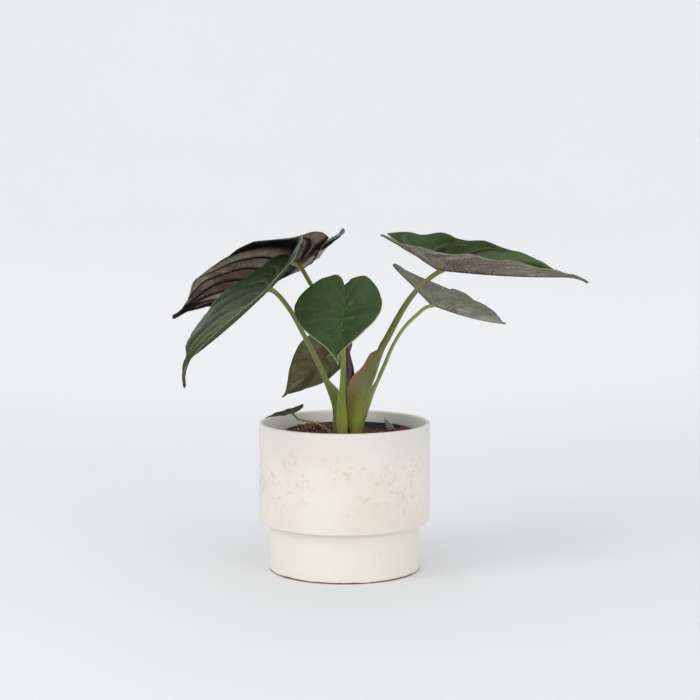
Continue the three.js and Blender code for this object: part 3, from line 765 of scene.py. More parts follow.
def throughPoints(points, t):
    points = np.array(points, float)
    last = len(points) - 1
    i = np.minimum((last * t).astype(int), last)
    w = (last * t - i)[:, None]
    before, here = points[np.maximum(i - 1, 0)], points[i]
    ahead, further = points[np.minimum(i + 1, last)], points[np.minimum(i + 2, last)]
    a, b = (ahead - before) / 2, (further - here) / 2
    bowed = (2 * here - 2 * ahead + a + b) * w ** 3 + (3 * ahead - 3 * here - 2 * a - b) * w ** 2
    return bowed + a * w + here


def leafOutline(leaf, around):
    reach, lobes, notch, half = (leaf[k] for k in ("reach", "lobes", "notch", "half"))
    return throughPoints(
        [(-notch, 0), (-(notch + 0.55 * (lobes - notch)), 0.09 * half), (-0.97 * lobes, 0.3 * half),
         (-0.93 * lobes, 0.62 * half), (-0.45 * lobes, 0.92 * half), (0.1 * reach, half),
         (0.32 * reach, 0.9 * half), (0.55 * reach, 0.62 * half), (0.75 * reach, 0.3 * half),
         (0.88 * reach, 0.085 * half), (0.95 * reach, 0.025 * half), (reach, 0)], around)


def leafAxes(leaf):
    heading, dip, roll = (math.radians(leaf[k]) for k in ("heading", "dip", "roll"))
    along = Vector((math.cos(heading) * math.cos(dip), math.sin(heading) * math.cos(dip), -math.sin(dip)))
    level = Vector((-math.sin(heading), math.cos(heading), 0))
    above = along.cross(level)
    out = level * math.cos(roll) + above * math.sin(roll)
    up = above * math.cos(roll) - level * math.sin(roll)
    return np.array(along), np.array(out), np.array(up)


def midribSlope(leaf, along):
    share = np.clip(along / leaf["reach"], 0, 1)
    hookFrom = leaf["hookFrom"]
    tip = np.clip((share - hookFrom) / (1 - hookFrom), 0, 1) ** leaf["hookEase"]
    back = smoothstep(-along, 0, leaf["lobes"] / leaf["rise"])
    return np.radians(leaf["arch"] * share ** 1.2 - leaf["hook"] * tip - leaf["raise"] * back)


def marginPlace(leaf, side, around):
    # a half's margin with its own dents and bulges: on the flat pattern, and how far it is lifted
    margin = leafOutline(leaf, around)
    ends = np.clip(around / 0.05, 0, 1) * np.clip((1 - around) / 0.05, 0, 1)
    lifted = 0 * around
    for half, centre, spread, along, out, up in leaf["edges"]:
        share = ends * np.exp(-((around - centre) / spread) ** 2) * (side == half)
        margin = margin + np.stack([along * share, out * share], axis=1)
        lifted = lifted + up * share
    return np.stack([margin[:, 0], np.maximum(margin[:, 1], 0)], axis=1), lifted


def sheetPoints(leaf, side, around, across, lift):
    # the blade's formed sheet in millimetres, and its places on the flat pattern
    root = np.where(around < sheet["behind"], -leaf["notch"] * (1 - around / sheet["behind"]),
                    leaf["reach"] * (np.clip(around - sheet["behind"], 0, 1) / (1 - sheet["behind"])) ** 1.35)
    margin, lifted = marginPlace(leaf, side, around)
    lift = lift + lifted * across ** 2
    along = root + (margin[:, 0] - root) * across
    wide = margin[:, 1] * across

    left = side > 0
    inner = np.radians(np.where(left, leaf["left"][0], leaf["right"][0]))
    outer = np.radians(np.where(left, leaf["left"][1], leaf["right"][1]))
    tilt = np.radians(np.where(left, *leaf["lobeTilt"])) * np.clip(-along / leaf["lobes"], 0, 1)
    bend = (outer - inner) / leaf["half"]
    bend = np.where(np.abs(bend) < 1e-6, 1e-6, bend)
    start = inner + tilt
    slope = start + bend * wide
    out = (np.sin(slope) - np.sin(start)) / bend
    up = (np.cos(start) - np.cos(slope)) / bend
    off = np.where(across > 0, 1, 0)
    out = out - off * np.sin(slope) * lift
    up = up + np.where(across > 0, np.cos(slope), 1) * lift

    table = np.linspace(-1.3 * leaf["lobes"], leaf["reach"], 700)
    turns = midribSlope(leaf, table)
    steps = np.diff(table)
    run = np.concatenate([[0], np.cumsum((np.cos(turns[1:]) + np.cos(turns[:-1])) / 2 * steps)])
    rise = np.concatenate([[0], np.cumsum((np.sin(turns[1:]) + np.sin(turns[:-1])) / 2 * steps)])
    run, rise = run - np.interp(0, table, run), rise - np.interp(0, table, rise)
    lean = midribSlope(leaf, along)
    runs = np.interp(along, table, run) - np.sin(lean) * up
    rises = np.interp(along, table, rise) + np.cos(lean) * up
    axisAlong, axisOut, axisUp = leafAxes(leaf)
    points = np.array(leaf["at"]) + runs[:, None] * axisAlong + rises[:, None] * axisUp
    return points + (side * out)[:, None] * axisOut, np.stack([along, side * wide], axis=1)


def makeBlade(name, leaf):
    gaps, strips = leaf["cuts"]
    columns, rows = sheet["veins"] * gaps, 2 * strips
    high, count, phase = leaf["wave"]
    kept = {}

    def place(u, v):
        side = np.where(v >= 0.5, 1.0, -1.0)
        across = np.abs(2 * v - 1) ** 1.2
        # the veins sweep a little towards the tip on their way to the margin
        around = np.clip(u + leaf["sweep"] * across ** 2 * np.sin(math.pi * u), 0, 1)
        between = np.abs(np.sin(math.pi * sheet["veins"] * u))
        puff = leaf["quilt"] * between ** 0.8 * np.sin(math.pi / 2 * across) * (1 - 0.6 * across ** 6)
        ends = across ** 3 * np.sin(math.pi * around)
        ripple = high * ends * np.sin(math.pi * (2 * count * around + phase))
        flat, ground = sheetPoints(leaf, side, around, across, 0 * u)
        # small unevenness, as no two panels are alike
        soft = np.array([noise.noise(Vector(p) * 0.085) + 0.5 * noise.noise(Vector(p) * 0.23) for p in flat])
        wideness = np.clip(np.abs(ground[:, 1]) / 6, 0, 1)
        groove = -leaf["groove"] * np.exp(-(ground[:, 1] / 1.3) ** 2) * (1 - u) ** 0.5
        lift = puff + ripple + leaf["uneven"] * soft * wideness + groove
        points, ground = sheetPoints(leaf, side, around, across, lift)
        kept.update(ground=ground, across=across)
        return points

    piece, u = shapedGrid("blade" + name, columns, rows, place)
    ground = kept["ground"].reshape(rows + 1, columns + 1, 2)
    # distances on the flat pattern, in millimetres: to the nearest side vein, to the midrib, to the margin
    nearest = np.clip(np.round(np.arange(columns + 1) / gaps), 0, sheet["veins"]).astype(int) * gaps
    veinAway = np.linalg.norm(ground - ground[:, nearest], axis=2).ravel()
    ribAway = np.abs(ground[:, :, 1]).ravel()
    trial = np.linspace(0, 1, 500)
    edges = {side: marginPlace(leaf, side + 0 * trial, trial)[0] * (1, side) for side in (1, -1)}
    marginAway = np.sqrt([((edges[1 if p[1] >= 0 else -1] - p) ** 2).sum(axis=1).min()
                          for p in ground.reshape(-1, 2)])
    keepValues(piece, "leafPlace", veinAway, ribAway, marginAway)

    rib = sheet["midrib"] * leaf["ribs"] * np.sqrt(1 - u) * np.clip(4 * u, 0, 1)
    rib = rib * np.exp(-(ribAway / (2.4 - 1.6 * u)) ** 2)
    veins = sheet["vein"] * leaf["ribs"] * (1 - kept["across"]) ** 0.7 * np.exp(-(veinAway / 0.8) ** 2)
    depth = sheet["thickness"] * (1 - 0.3 * np.clip(1 - marginAway / 3, 0, 1)) + np.maximum(rib, veins)
    ribs = piece.vertex_groups.new(name="ribs")
    for i, share in enumerate(np.clip(depth / sheet["deepest"], 0, 1)):
        ribs.add([i], float(share), "REPLACE")
    mergeDoubles(piece)
    wall = piece.modifiers.new("wall", "SOLIDIFY")
    wall.thickness, wall.offset, wall.vertex_group = sheet["deepest"] * mm, -1, "ribs"
    wall.material_offset, wall.material_offset_rim = 1, 2
    dress(piece, *(skin(name, leaf["skin"]) for skin in (upperSkin, lowerSkin, rimSkin)))
    applyModifiers(piece)
    piece.vertex_groups.clear()
    shade(piece)
    settle(piece, "blade", "blade_" + leaf["node"])


def upperSkin(name, skin):
    material, place = newMaterial("upperSkin" + name)
    lines = useGroup(place.tree, leafFigure, {"Rib Width": 1.5, "Vein Width": 0.55})
    around, mottle = lines["Around"], lines["Mottle"]
    dust = scattered(place, 420.0, 0.16, 0.16) * noiseOf(place, 38, 2).ramp(0.5, 0.66)
    colour = layered(mixed(mottle.ramp(0.38, 0.64), skin["deep"], skin["green"]), [
        (around.ramp(0.45, 0.95), skin["grey"], skin["greying"]),
        # patches of the leaf's own colour, and of painted shade and painted light on its folds
        *blotches(lines, skin["blotches"]),
        (lines["Panel"].ramp(0.75, 0.0), skin["vein"], skin["feather"]),
        (lines["Net"], skin["vein"], skin["net"]),
        (lines["Vein"], skin["vein"], skin["veins"]),
        (lines["Rib"], skin["vein"], skin["rib"]),
        (around.ramp(0.93, 1.0), skin["tip"], skin["tipShare"]),
        (dust, skin["dustTone"], skin["dust"]),
        (lines["Margin"] * around.ramp(*skin["marginRun"]), skin["margin"], skin["marginShare"]),
    ])
    rough = mottle.ramp(0.3, 0.7, skin["rough"], skin["rough"] + 0.12)
    surface(colour, rough, 1 - lines["Relief"], 0.5, 0.45, skin["shine"])
    return material


def lowerSkin(name, skin):
    material, place = newMaterial("lowerSkin" + name)
    lines = useGroup(place.tree, leafFigure, {"Rib Width": 2.2, "Vein Width": 0.7})
    mottle = lines["Mottle"]
    colour = layered(mixed(mottle.ramp(0.36, 0.66), skin["underDeep"], skin["under"]), [
        # patches of the underside's own colour, and of painted shade and painted light on its folds
        *blotches(lines, skin["underBlotches"]),
        # painted shade in the creases between the panels, darkest at each vein
        (lines["Panel"].ramp(skin["creaseWide"], 0.0), skin["creaseTone"], skin["crease"]),
        (lines["Net"], skin["underVein"], skin["underNet"]),
        (lines["Vein"], skin["underVein"], skin["underVeins"]),
        (lines["Rib"], skin["ribTone"], skin["underRib"]),
        (lines["Around"].ramp(0.9, 1.0), skin["tip"], skin["underTip"]),
        (lines["Margin"], skin["underEdge"], skin["underMargin"]),
    ])
    surface(colour, mottle.ramp(0.3, 0.7, 0.6, 0.75), lines["Relief"], 0.6, 0.5, skin["underShine"])
    return material


def rimSkin(name, skin):
    material, place = newMaterial("rimSkin" + name)
    colour = mixed(noiseOf(place, 200, 2), skin["margin"], skin["green"])
    surface(colour, 0.5, noiseOf(place, 1200, 2), 0.2, 0.2)
    return material


def stalkWay(leaf, count):
    # a centripetal curve through the stalk's points, cut into even steps
    x, y, z = leaf["route"][0]
    points = [(x, y, stalkFoot), (x, y, (stalkFoot + z) / 2), *leaf["route"], leaf["at"]]
    points = [Vector(p) for p in points]
    points = [2 * points[0] - points[1], *points, 2 * points[-1] - points[-2]]
    dense = []
    for p0, p1, p2, p3 in zip(points, points[1:], points[2:], points[3:]):
        d0, d1, d2 = ((b - a).length ** 0.5 for a, b in ((p0, p1), (p1, p2), (p2, p3)))
        t1 = ((p1 - p0) / d0 - (p2 - p0) / (d0 + d1) + (p2 - p1) / d1) * d1
        t2 = ((p2 - p1) / d1 - (p3 - p1) / (d1 + d2) + (p3 - p2) / d2) * d1
        for i in range(40):
            w = i / 40
            bowed = (3 * p2 - 3 * p1 - 2 * t1 - t2) * w ** 2 + (2 * p1 - 2 * p2 + t1 + t2) * w ** 3
            dense.append(p1 + t1 * w + bowed)
    dense = np.array([*dense, points[-2]])
    lengths = np.concatenate([[0], np.cumsum(np.linalg.norm(np.diff(dense, axis=0), axis=1))])
    even = np.linspace(0, lengths[-1], count + 1)
    way = np.stack([np.interp(even, lengths, dense[:, k]) for k in range(3)], axis=1)
    ahead = np.gradient(way, axis=0)
    return way, ahead / np.linalg.norm(ahead, axis=1)[:, None], even


def makeStalk(name, leaf):
    sheathOutline = [(0, -1, 0), (0.5, -0.87, 0), (0.87, -0.5, 0), (1, 0, 0.1), (0.98, 0, 0.55), (0.8, 0, 1),
                     (0.68, 0, 0.97), (0.72, 0, 0.4), (0, -0.4, 0)]
    sheathOutline += [(-x, y, w) for x, y, w in sheathOutline[-2:0:-1]]
    sides = len(sheathOutline)
    count = int(stalkWay(leaf, 10)[2][-1] / ringStep)
    way, ahead, even = stalkWay(leaf, count)
    thick, thin = leaf["radius"]
    top, wing, breadth = leaf["sheath"]
    soilLine = leaf["route"][0][2]
    up = leafAxes(leaf)[2]
    inward = np.array([*leaf["inward"], 0.5])
    inward /= np.linalg.norm(inward)
    inner = inward - (ahead @ inward)[:, None] * ahead
    inner /= np.linalg.norm(inner, axis=1)[:, None]
    across = np.cross(ahead, inner)
    below = top - way[:, 2]
    shoulder, (left, thinned) = leaf["shoulder"], leaf["narrow"]
    opened = smoothstep(below, 0, 0.8 * shoulder) * smoothstep(way[:, 2], soilLine, soilLine + 12)
    swell = (left + (1 - left) * np.clip(below / 30, 0, 1)) * (1 - 0.4 * smoothstep(below, 30, 75))
    swell = swell * (1 + leaf["fuller"] * smoothstep(below, 16, 36))
    reach = wing * smoothstep(below, 0, shoulder) * swell
    higher = np.clip((way[:, 2] - soilLine) / (top - soilLine), 0, 1)
    radius = thick + (thin - thick) * np.minimum(1, leaf["taper"] * even / even[-1]) ** 0.8
    kept = {}

    def place(u, v):
        k, i = np.round(u * sides).astype(int) % sides, np.round(v * count).astype(int)
        turn = 2 * math.pi * k / sides - math.pi / 2
        shape = np.array(sheathOutline)[k]
        r = radius[i]
        b = np.maximum(breadth, r)
        b = b + (r - b) * thinned * higher[i] ** 0.5
        ridge = 1 + 0.035 * np.cos(3 * turn + 0.02 * even[i])
        closed = (1 - opened[i]) * r * ridge
        x = closed * np.cos(turn) + opened[i] * b * shape[:, 0]
        y = closed * np.sin(turn) + opened[i] * (r * shape[:, 1] + reach[i] * shape[:, 2])
        points = way[i] - x[:, None] * across[i] + y[:, None] * inner[i]
        # the last ring spreads against the blade's lower face
        room = (np.array(leaf["at"]) - 0.45 * up - points) @ up / (ahead[i] @ up)
        flare = 1 + 0.55 * smoothstep(even[i], even[-1] - 5, even[-1])
        points = way[i] + (points - way[i]) * flare[:, None]
        points = points + np.where(i == count, room, 0)[:, None] * ahead[i]
        kept.update(wing=shape[:, 2] * opened[i], rows=i, turn=turn)
        return points

    piece, _ = shapedGrid("stalk" + name, sides, count, place)
    rows, turn = kept["rows"], kept["turn"]
    keepValues(piece, "grainPlace", np.cos(turn), np.sin(turn), even[rows] / 10)
    keepValues(piece, "sheathWing", kept["wing"])
    keepValues(piece, "stalkHeight", way[rows, 2] - soilLine)
    mergeDoubles(piece, 0.01 * mm)
    closeEnds(piece)
    faceOutwards(piece)
    smooth = piece.modifiers.new("smooth", "SUBSURF")
    smooth.levels = smooth.render_levels = 2
    applyModifiers(piece)
    shade(piece)
    dress(piece, stalkSkin(name, leaf["stalk"]))
    settle(piece, "stalk", "stalk_" + leaf["node"])


def stalkSkin(name, skin):
    material, place = newMaterial("stalkSkin" + name)
    grain = attribute(place.tree, "grainPlace")
    wing, height = (attribute(place.tree, key, "Fac") for key in ("sheathWing", "stalkHeight"))
    streaks = noiseOf(stretched(grain, (7, 7, 0.55)), 1.6, 5, 0.6)
    mottle = noiseOf(grain, 3.5, 4, 0.5)
    colour = layered(mixed(height.ramp(*skin["change"]), skin["foot"], skin["top"]), [
        (streaks.ramp(0.35, 0.7), skin["streak"], 0.55),
        (mottle.ramp(0.5, 0.75), skin["shade"], 0.4),
        # the wings of the sheath are flushed, and paler along their edge
        (wing.ramp(0.35, 1.0) * height.ramp(16.0, 40.0), skin["flush"], skin["flushShare"]),
        (wing.ramp(0.9, 1.0), skin["edge"], skin["edgeShare"]),
        (height.ramp(9.0, 0.0), skin["rustTone"], skin["rust"]),
    ])
    surface(colour, mottle.ramp(0.3, 0.7, 0.34, 0.46), streaks, 0.18, 0.25, 0.45)
    return material


# each leaf has its own dictionary, and what it leaves out comes from the three plain ones;
# a patch is (half, around, across, size, stretch, tone, share), where a half is 1 for the left and -1 for
# the right: a few carry the leaf's own colour, and most are painted shade in folds and hollows and painted
# light on lit folds; an edge is (half, around, spread, along, out, up), its last three in millimetres

plainLeaf = {
    "shoulder": 22, "taper": 1.6, "narrow": (1, 0), "fuller": 0, "hookFrom": 0.8, "hookEase": 1.5,
    "rise": 3.5, "lobeTilt": (0, 0), "edges": [],
}
plainSkin = {
    "greying": 0.2, "feather": 0.1, "net": 0.12, "veins": 0.3, "rib": 0.4, "dust": 0.3,
    "dustTone": (186, 192, 178), "marginShare": 0.4, "marginRun": (-1.0, 0.0), "rough": 0.4, "shine": 0.2,
    "blotches": [], "creaseWide": 0.4, "crease": 0.4, "underVeins": 0.5, "underRib": 0.6, "underMargin": 0.5,
    "underShine": 0.1, "underBlotches": [],
}
plainStalk = {"flushShare": 0.2, "edgeShare": 0.5, "rust": 0.1, "rustTone": (176, 112, 62)}
backLeftLeaf = {
    **plainLeaf, "node": "back_left", "at": (-46.9, 43, 267.1), "reach": 142, "lobes": 54, "notch": 32,
    "half": 58, "heading": 151, "dip": 24.4, "roll": 19, "left": (12, -9), "right": (12, 26), "arch": 4.3,
    "raise": -1.7, "hook": 13, "lobeTilt": (-13, 36), "quilt": 4.2, "wave": (1.2, 5, 0), "uneven": 0.5,
    "groove": 0.5, "ribs": 1.0, "sweep": 0.24, "cuts": (18, 26),
    "edges": [
        (1, 0.65, 0.05, 0, 4, 0), (1, 0.36, 0.04, 0, -1, 0), (1, 0.43, 0.07, 0, -3, 0),
        (-1, 0.24, 0.1, 5, -4, 0), (-1, 0.25, 0.06, 1, 0, -6), (-1, 0.405, 0.052, 0, -8.5, 0),
        (-1, 0.72, 0.05, 0, 2.5, 0),
    ],
    "route": [
        (4, 10.5, 118), (3.4, 11, 147), (1.5, 11.5, 169), (-3, 12, 191), (-10, 14, 211), (-20, 20, 231),
        (-31.6, 31, 251), (-40.6, 39.5, 264.2),
    ],
    "radius": (4, 2), "inward": (0.4, -1), "sheath": (160, 4, 4.2),
    "skin": {
        **plainSkin, "deep": (26, 34, 26), "green": (38, 48, 34), "grey": (70, 72, 66), "vein": (96, 108, 84),
        "feather": 0.15, "veins": 0.35, "tip": (22, 18, 18), "tipShare": 0.9, "margin": (120, 122, 104),
        "marginShare": 0.35, "rough": 0.36, "underShine": 0.03, "underDeep": (88, 74, 65),
        # under this blade the near-black creases and vein lines are painted shade in its deep folds
        "under": (146, 132, 120), "creaseWide": 0.95, "crease": 0.95, "creaseTone": (20, 16, 14),
        "underVein": (30, 24, 22), "underNet": 0.1, "underVeins": 0.8, "ribTone": (40, 30, 28),
        "underTip": 0.9, "underEdge": (60, 52, 50),
        # the near-black patches here are painted shade in the deep folds of the blade
        "underBlotches": [
            (1, 0.29, 0.72, 0.075, 0.6, (8, 10, 7), 1.0), (1, 0.39, 0.85, 0.04, 0.3, (140, 134, 122), 0.5),
            (1, 0.21, 0.62, 0.03, 0.3, (140, 130, 122), 0.5), (1, 0.1, 0.8, 0.04, 0.5, (118, 102, 96), 0.6),
            (1, 0.6, 0.3, 0.12, 0.4, (72, 56, 47), 0.8), (-1, 0.43, 0.6, 0.12, 0.9, (28, 18, 13), 0.95),
            (1, 0.43, 0.4, 0.05, 0.3, (78, 74, 64), 0.6), (1, 0.8, 0.45, 0.07, 0.6, (160, 146, 136), 0.6),
            (-1, 0.27, 0.75, 0.06, 0.5, (176, 164, 162), 0.8),
        ],
    },
    "stalk": {
        **plainStalk, "foot": (128, 138, 66), "top": (122, 116, 62), "change": (40.0, 130.0),
        "streak": (150, 156, 86), "shade": (92, 100, 50), "flush": (150, 120, 84), "edge": (186, 178, 134),
        "rust": 0.35,
    },
}
frontLeftLeaf = {
    **plainLeaf, "node": "front_left", "at": (-64.7, -38, 249.5), "reach": 134, "lobes": 55, "notch": 33,
    "half": 51, "heading": 231, "dip": 31.3, "roll": 21, "left": (13, 13), "right": (14, 14), "arch": 8,
    "raise": 1.4, "hook": 63, "hookFrom": 0.77, "hookEase": 0.7, "lobeTilt": (22, -4), "quilt": 2.0,
    "wave": (1.0, 5, 0), "uneven": 0.9, "groove": 0.8, "ribs": 1.0, "sweep": 0.26, "cuts": (18, 26),
    "edges": [
        (1, 0.2, 0.12, 12, 0, 0), (1, 0.75, 0.05, 0, -5.5, 0), (1, 0.87, 0.05, 0, -2.6, 0),
        (-1, 0.75, 0.05, 0, -5.5, 0), (-1, 0.87, 0.05, 0, -2.6, 0),
    ],
    "route": [
        (-7, 1, 118), (-7.4, -2.3, 142), (-14.4, -7.5, 163.7), (-24.9, -14.5, 187.3), (-35.7, -22, 209.5),
        (-46.2, -29.5, 229.8), (-58, -36, 245.2),
    ],
    "radius": (4.2, 2.1), "inward": (1, 0.3), "sheath": (176, 6.5, 4.4),
    "skin": {
        **plainSkin, "deep": (26, 42, 20), "green": (46, 64, 32), "grey": (88, 96, 66), "greying": 0.6,
        "vein": (104, 116, 90), "net": 0.22, "veins": 0.4, "rib": 0.5, "tip": (72, 76, 66), "tipShare": 0.7,
        "dust": 0.35, "margin": (166, 166, 138), "rough": 0.3, "shine": 0.08, "underShine": 0.06,
        "marginRun": (0.5, 0.25), "underDeep": (72, 78, 60), "under": (100, 106, 86), "creaseWide": 0.6,
        "crease": 0.3, "creaseTone": (52, 42, 42), "underVein": (70, 58, 56), "underNet": 0.16,
        "ribTone": (70, 58, 50), "underTip": 0.6, "underEdge": (84, 86, 70),
        "underBlotches": [(1, 0.15, 0.8, 0.14, 0.6, (34, 42, 28), 0.9)],
        "blotches": [
            (-1, 0.2, 0.6, 0.12, 0.9, (24, 38, 18), 0.8), (-1, 0.36, 0.3, 0.06, 0.4, (26, 40, 20), 0.75),
            (-1, 0.6, 0.5, 0.12, 0.8, (98, 108, 76), 0.25), (-1, 0.4, 0.9, 0.05, 0.1, (120, 130, 112), 0.4),
        ],
    },
    "stalk": {
        **plainStalk, "foot": (104, 112, 48), "top": (112, 115, 62), "change": (30.0, 110.0),
        "streak": (150, 158, 92), "shade": (90, 96, 50), "flush": (150, 130, 84), "edge": (196, 190, 146),
        "edgeShare": 0.6, "rust": 0.2,
    },
}
frontLeaf = {
    **plainLeaf, "node": "front", "at": (-0.4, -65.1, 233), "reach": 52.8, "lobes": 28.5, "notch": 22.5,
    "half": 39, "heading": 259, "dip": 48.5, "roll": 8, "left": (14, 14), "right": (13.5, 13.5),
    "arch": -10.8, "raise": 22, "hook": 39, "quilt": 0.7, "wave": (0.3, 5, 0), "uneven": 0.3, "groove": 0.5,
    "ribs": 0.8, "sweep": 0.06, "cuts": (14, 22),
    "edges": [
        (1, 0.07, 0.04, 0, 2.5, 0), (1, 0.34, 0.14, 0, -2.8, 0), (1, 0.58, 0.07, 0, -1.8, 0),
        (1, 0.73, 0.1, 0, -6, 0), (-1, 0.13, 0.09, -4.5, 0, 0), (-1, 0.26, 0.08, 0, -3, 0),
        (-1, 0.4, 0.08, 0, 3, 0), (-1, 0.7, 0.08, 0, -3, 0),
    ],
    "route": [(-2, -8.8, 118), (-2.6, -16, 142), (-1.8, -28, 168), (-0.6, -43.4, 197), (-1, -54, 215)],
    "radius": (5.2, 2.1), "taper": 2.2, "inward": (0.1, 1), "sheath": (172, 4.5, 6.5), "narrow": (1, 1),
    "skin": {
        **plainSkin, "deep": (42, 60, 28), "green": (55, 75, 39), "grey": (58, 78, 44), "vein": (84, 106, 66),
        "feather": 0.05, "net": 0.05, "veins": 0.18, "rib": 0.2, "tip": (136, 146, 104), "tipShare": 0.6,
        "dust": 0.8, "margin": (150, 166, 116), "marginShare": 0.85, "marginRun": (0.3, 0.55),
        "underDeep": (92, 92, 78), "under": (118, 118, 100), "creaseWide": 0.5, "creaseTone": (70, 66, 56),
        "underVein": (132, 130, 104), "underNet": 0.2, "ribTone": (128, 132, 84), "underTip": 0.5,
        "underEdge": (140, 140, 110),
        "blotches": [
            (1, 0.31, 0.3, 0.03, 0.1, (92, 106, 78), 0.5), (1, 0.34, 0.12, 0.012, 0.05, (150, 160, 140), 0.5),
            (1, 0.5, 0.3, 0.03, 0.09, (92, 104, 78), 0.35), (1, 0.64, 0.14, 0.01, 0.05, (150, 158, 140), 0.5),
        ],
    },
    "stalk": {
        **plainStalk, "foot": (156, 168, 82), "top": (118, 130, 62), "change": (4.0, 50.0),
        "streak": (144, 154, 82), "shade": (98, 108, 50), "flush": (170, 150, 96), "flushShare": 0.25,
        "edge": (205, 198, 150), "edgeShare": 0.7, "rust": 0.25,
    },
}
rightLeaf = {
    **plainLeaf, "node": "right", "at": (84.1, -26.7, 265), "reach": 125, "lobes": 59.4, "notch": 19,
    "half": 41.5, "heading": -13.7, "dip": 5.6, "roll": 8.5, "left": (27.6, 30), "right": (38, 25.6),
    "arch": 8.5, "raise": 22.5, "rise": 8, "hook": 40, "lobeTilt": (-22, -16), "quilt": 2.2,
    "wave": (1.0, 8.5, -0.13), "uneven": 0.45, "groove": 0.5, "ribs": 0.9, "sweep": 0.2, "cuts": (20, 26),
    "edges": [
        (1, 0.26, 0.035, 0, 0, -4), (1, 0.32, 0.018, 0, 0, 1.5), (1, 0.35, 0.02, 0, 0, -1.5),
        (1, 0.39, 0.03, 0, 0, 4.2), (1, 0.69, 0.02, 0, 0, 2), (1, 0.755, 0.05, 0, 0, -6),
    ],
    "route": [
        (8.5, -1, 118), (13.4, -2.7, 136), (17.3, -5.1, 154), (23.8, -7.9, 172), (31.3, -11.9, 194),
        (37, -13.9, 204.6), (51.2, -19.4, 231.6), (62.8, -22.8, 247.7), (72.3, -24.8, 256.6),
    ],
    "radius": (5, 2.1), "taper": 1.1, "inward": (-1, 0.3), "sheath": (196, 11.5, 5.6), "shoulder": 7,
    "narrow": (0.5, 0), "fuller": 0.4,
    "skin": {
        **plainSkin, "deep": (38, 52, 30), "green": (56, 74, 42), "grey": (70, 84, 56), "greying": 0.5,
        "vein": (112, 122, 88), "feather": 0.2, "net": 0.06, "veins": 0.45, "rib": 0.6, "tip": (34, 30, 26),
        "tipShare": 0.8, "margin": (166, 170, 146), "marginShare": 0.7, "rough": 0.48, "shine": 0.06,
        "underShine": 0.06, "underDeep": (104, 97, 88), "under": (160, 151, 140), "creaseWide": 0.45,
        "crease": 0.7, "creaseTone": (44, 36, 30), "underVein": (170, 164, 148), "underNet": 0.5,
        "underVeins": 0.3, "underRib": 0.7, "ribTone": (62, 50, 50), "underTip": 0.8,
        "underEdge": (120, 124, 104),
        # the dark patches on this blade are painted shade in its hollows, and the pale ones painted light on
        # its lit folds
        "blotches": [
            (1, 0.5, 0.75, 0.07, 0.6, (108, 124, 94), 0.4), (1, 0.12, 0.8, 0.06, 0.6, (40, 46, 30), 0.6),
            (1, 0.32, 0.58, 0.016, 0.09, (30, 30, 18), 0.9), (1, 0.42, 0.7, 0.022, 0.4, (22, 32, 18), 0.75),
            (1, 0.24, 0.6, 0.05, 0.5, (76, 92, 58), 0.4),
        ],
        # all these are painted shade in the hollows under the blade
        "underBlotches": [
            (-1, 0.32, 0.75, 0.035, 0.2, (64, 52, 45), 0.85),
            (-1, 0.42, 0.36, 0.035, 0.15, (40, 33, 29), 0.95), (-1, 0.6, 0.05, 0.2, 0.06, (50, 44, 40), 0.7),
            (-1, 0.16, 0.9, 0.03, 0.2, (60, 58, 46), 0.7), (-1, 0.55, 0.6, 0.03, 0.4, (92, 82, 74), 0.6),
            (-1, 0.44, 0.6, 0.06, 0.6, (82, 72, 64), 0.65), (1, 0.5, 0.5, 0.3, 1.0, (58, 52, 45), 0.7),
        ],
    },
    "stalk": {
        **plainStalk, "foot": (150, 160, 68), "top": (104, 99, 56), "change": (4.0, 62.0),
        "streak": (120, 126, 58), "shade": (86, 84, 46), "flush": (148, 100, 74), "flushShare": 0.85,
        "edge": (190, 140, 108), "edgeShare": 0.35, "rust": 0.5,
    },
}
backRightLeaf = {
    **plainLeaf, "node": "back_right", "at": (80.3, 32.3, 229.9), "reach": 70, "lobes": 54.9, "notch": 18,
    "half": 35.8, "heading": 14.2, "dip": 21.7, "roll": -8.7, "left": (23.8, 17), "right": (23.8, 16),
    "arch": 14, "raise": 21, "rise": 8, "hook": 2, "lobeTilt": (4, -28), "quilt": 1.2, "wave": (0.8, 5, 0),
    "uneven": 0.35, "groove": 0.4, "ribs": 0.8, "sweep": 0.16, "cuts": (16, 22),
    "edges": [(1, 0.24, 0.09, 4, -5, 0), (1, 0.74, 0.1, 0, 5, 0), (-1, 0.74, 0.1, 0, 6, 0)],
    "route": [
        (13, 6, 118), (19.3, 6.6, 140), (25, 9.3, 155.5), (35.7, 15.7, 178.6), (42.3, 20.2, 193.6),
        (52.8, 25.5, 210), (65.7, 29.7, 222.4), (71.4, 31.2, 226.9),
    ],
    "radius": (2.8, 1.6), "inward": (-1, 0), "sheath": (172, 4, 3),
    "skin": {
        **plainSkin, "deep": (44, 54, 38), "green": (58, 72, 46), "grey": (84, 92, 78), "greying": 0.3,
        "vein": (108, 120, 98), "feather": 0.15, "veins": 0.35, "rib": 0.5, "tip": (96, 92, 80),
        "tipShare": 0.5, "margin": (96, 100, 84), "marginShare": 0.5, "underDeep": (100, 100, 88),
        "under": (150, 150, 134), "crease": 0.2, "creaseTone": (96, 90, 82), "underVein": (170, 168, 150),
        "underNet": 0.5, "ribTone": (92, 86, 74), "underTip": 0.3, "underMargin": 0.75,
        "underEdge": (62, 66, 54),
        "underBlotches": [
            (1, 0.8, 0.6, 0.24, 0.9, (176, 172, 162), 0.6), (-1, 0.85, 0.6, 0.12, 0.8, (172, 168, 160), 0.6),
            (-1, 0.6, 0.3, 0.06, 0.08, (196, 192, 178), 0.6), (-1, 0.5, 0.85, 0.16, 0.2, (92, 92, 78), 0.6),
            (-1, 0.42, 0.12, 0.05, 0.06, (190, 188, 170), 0.5),
        ],
    },
    "stalk": {
        **plainStalk, "foot": (120, 134, 56), "top": (138, 150, 74), "change": (10.0, 80.0),
        "streak": (158, 168, 92), "shade": (98, 110, 52), "flush": (170, 150, 96), "edge": (206, 200, 156),
    },
}
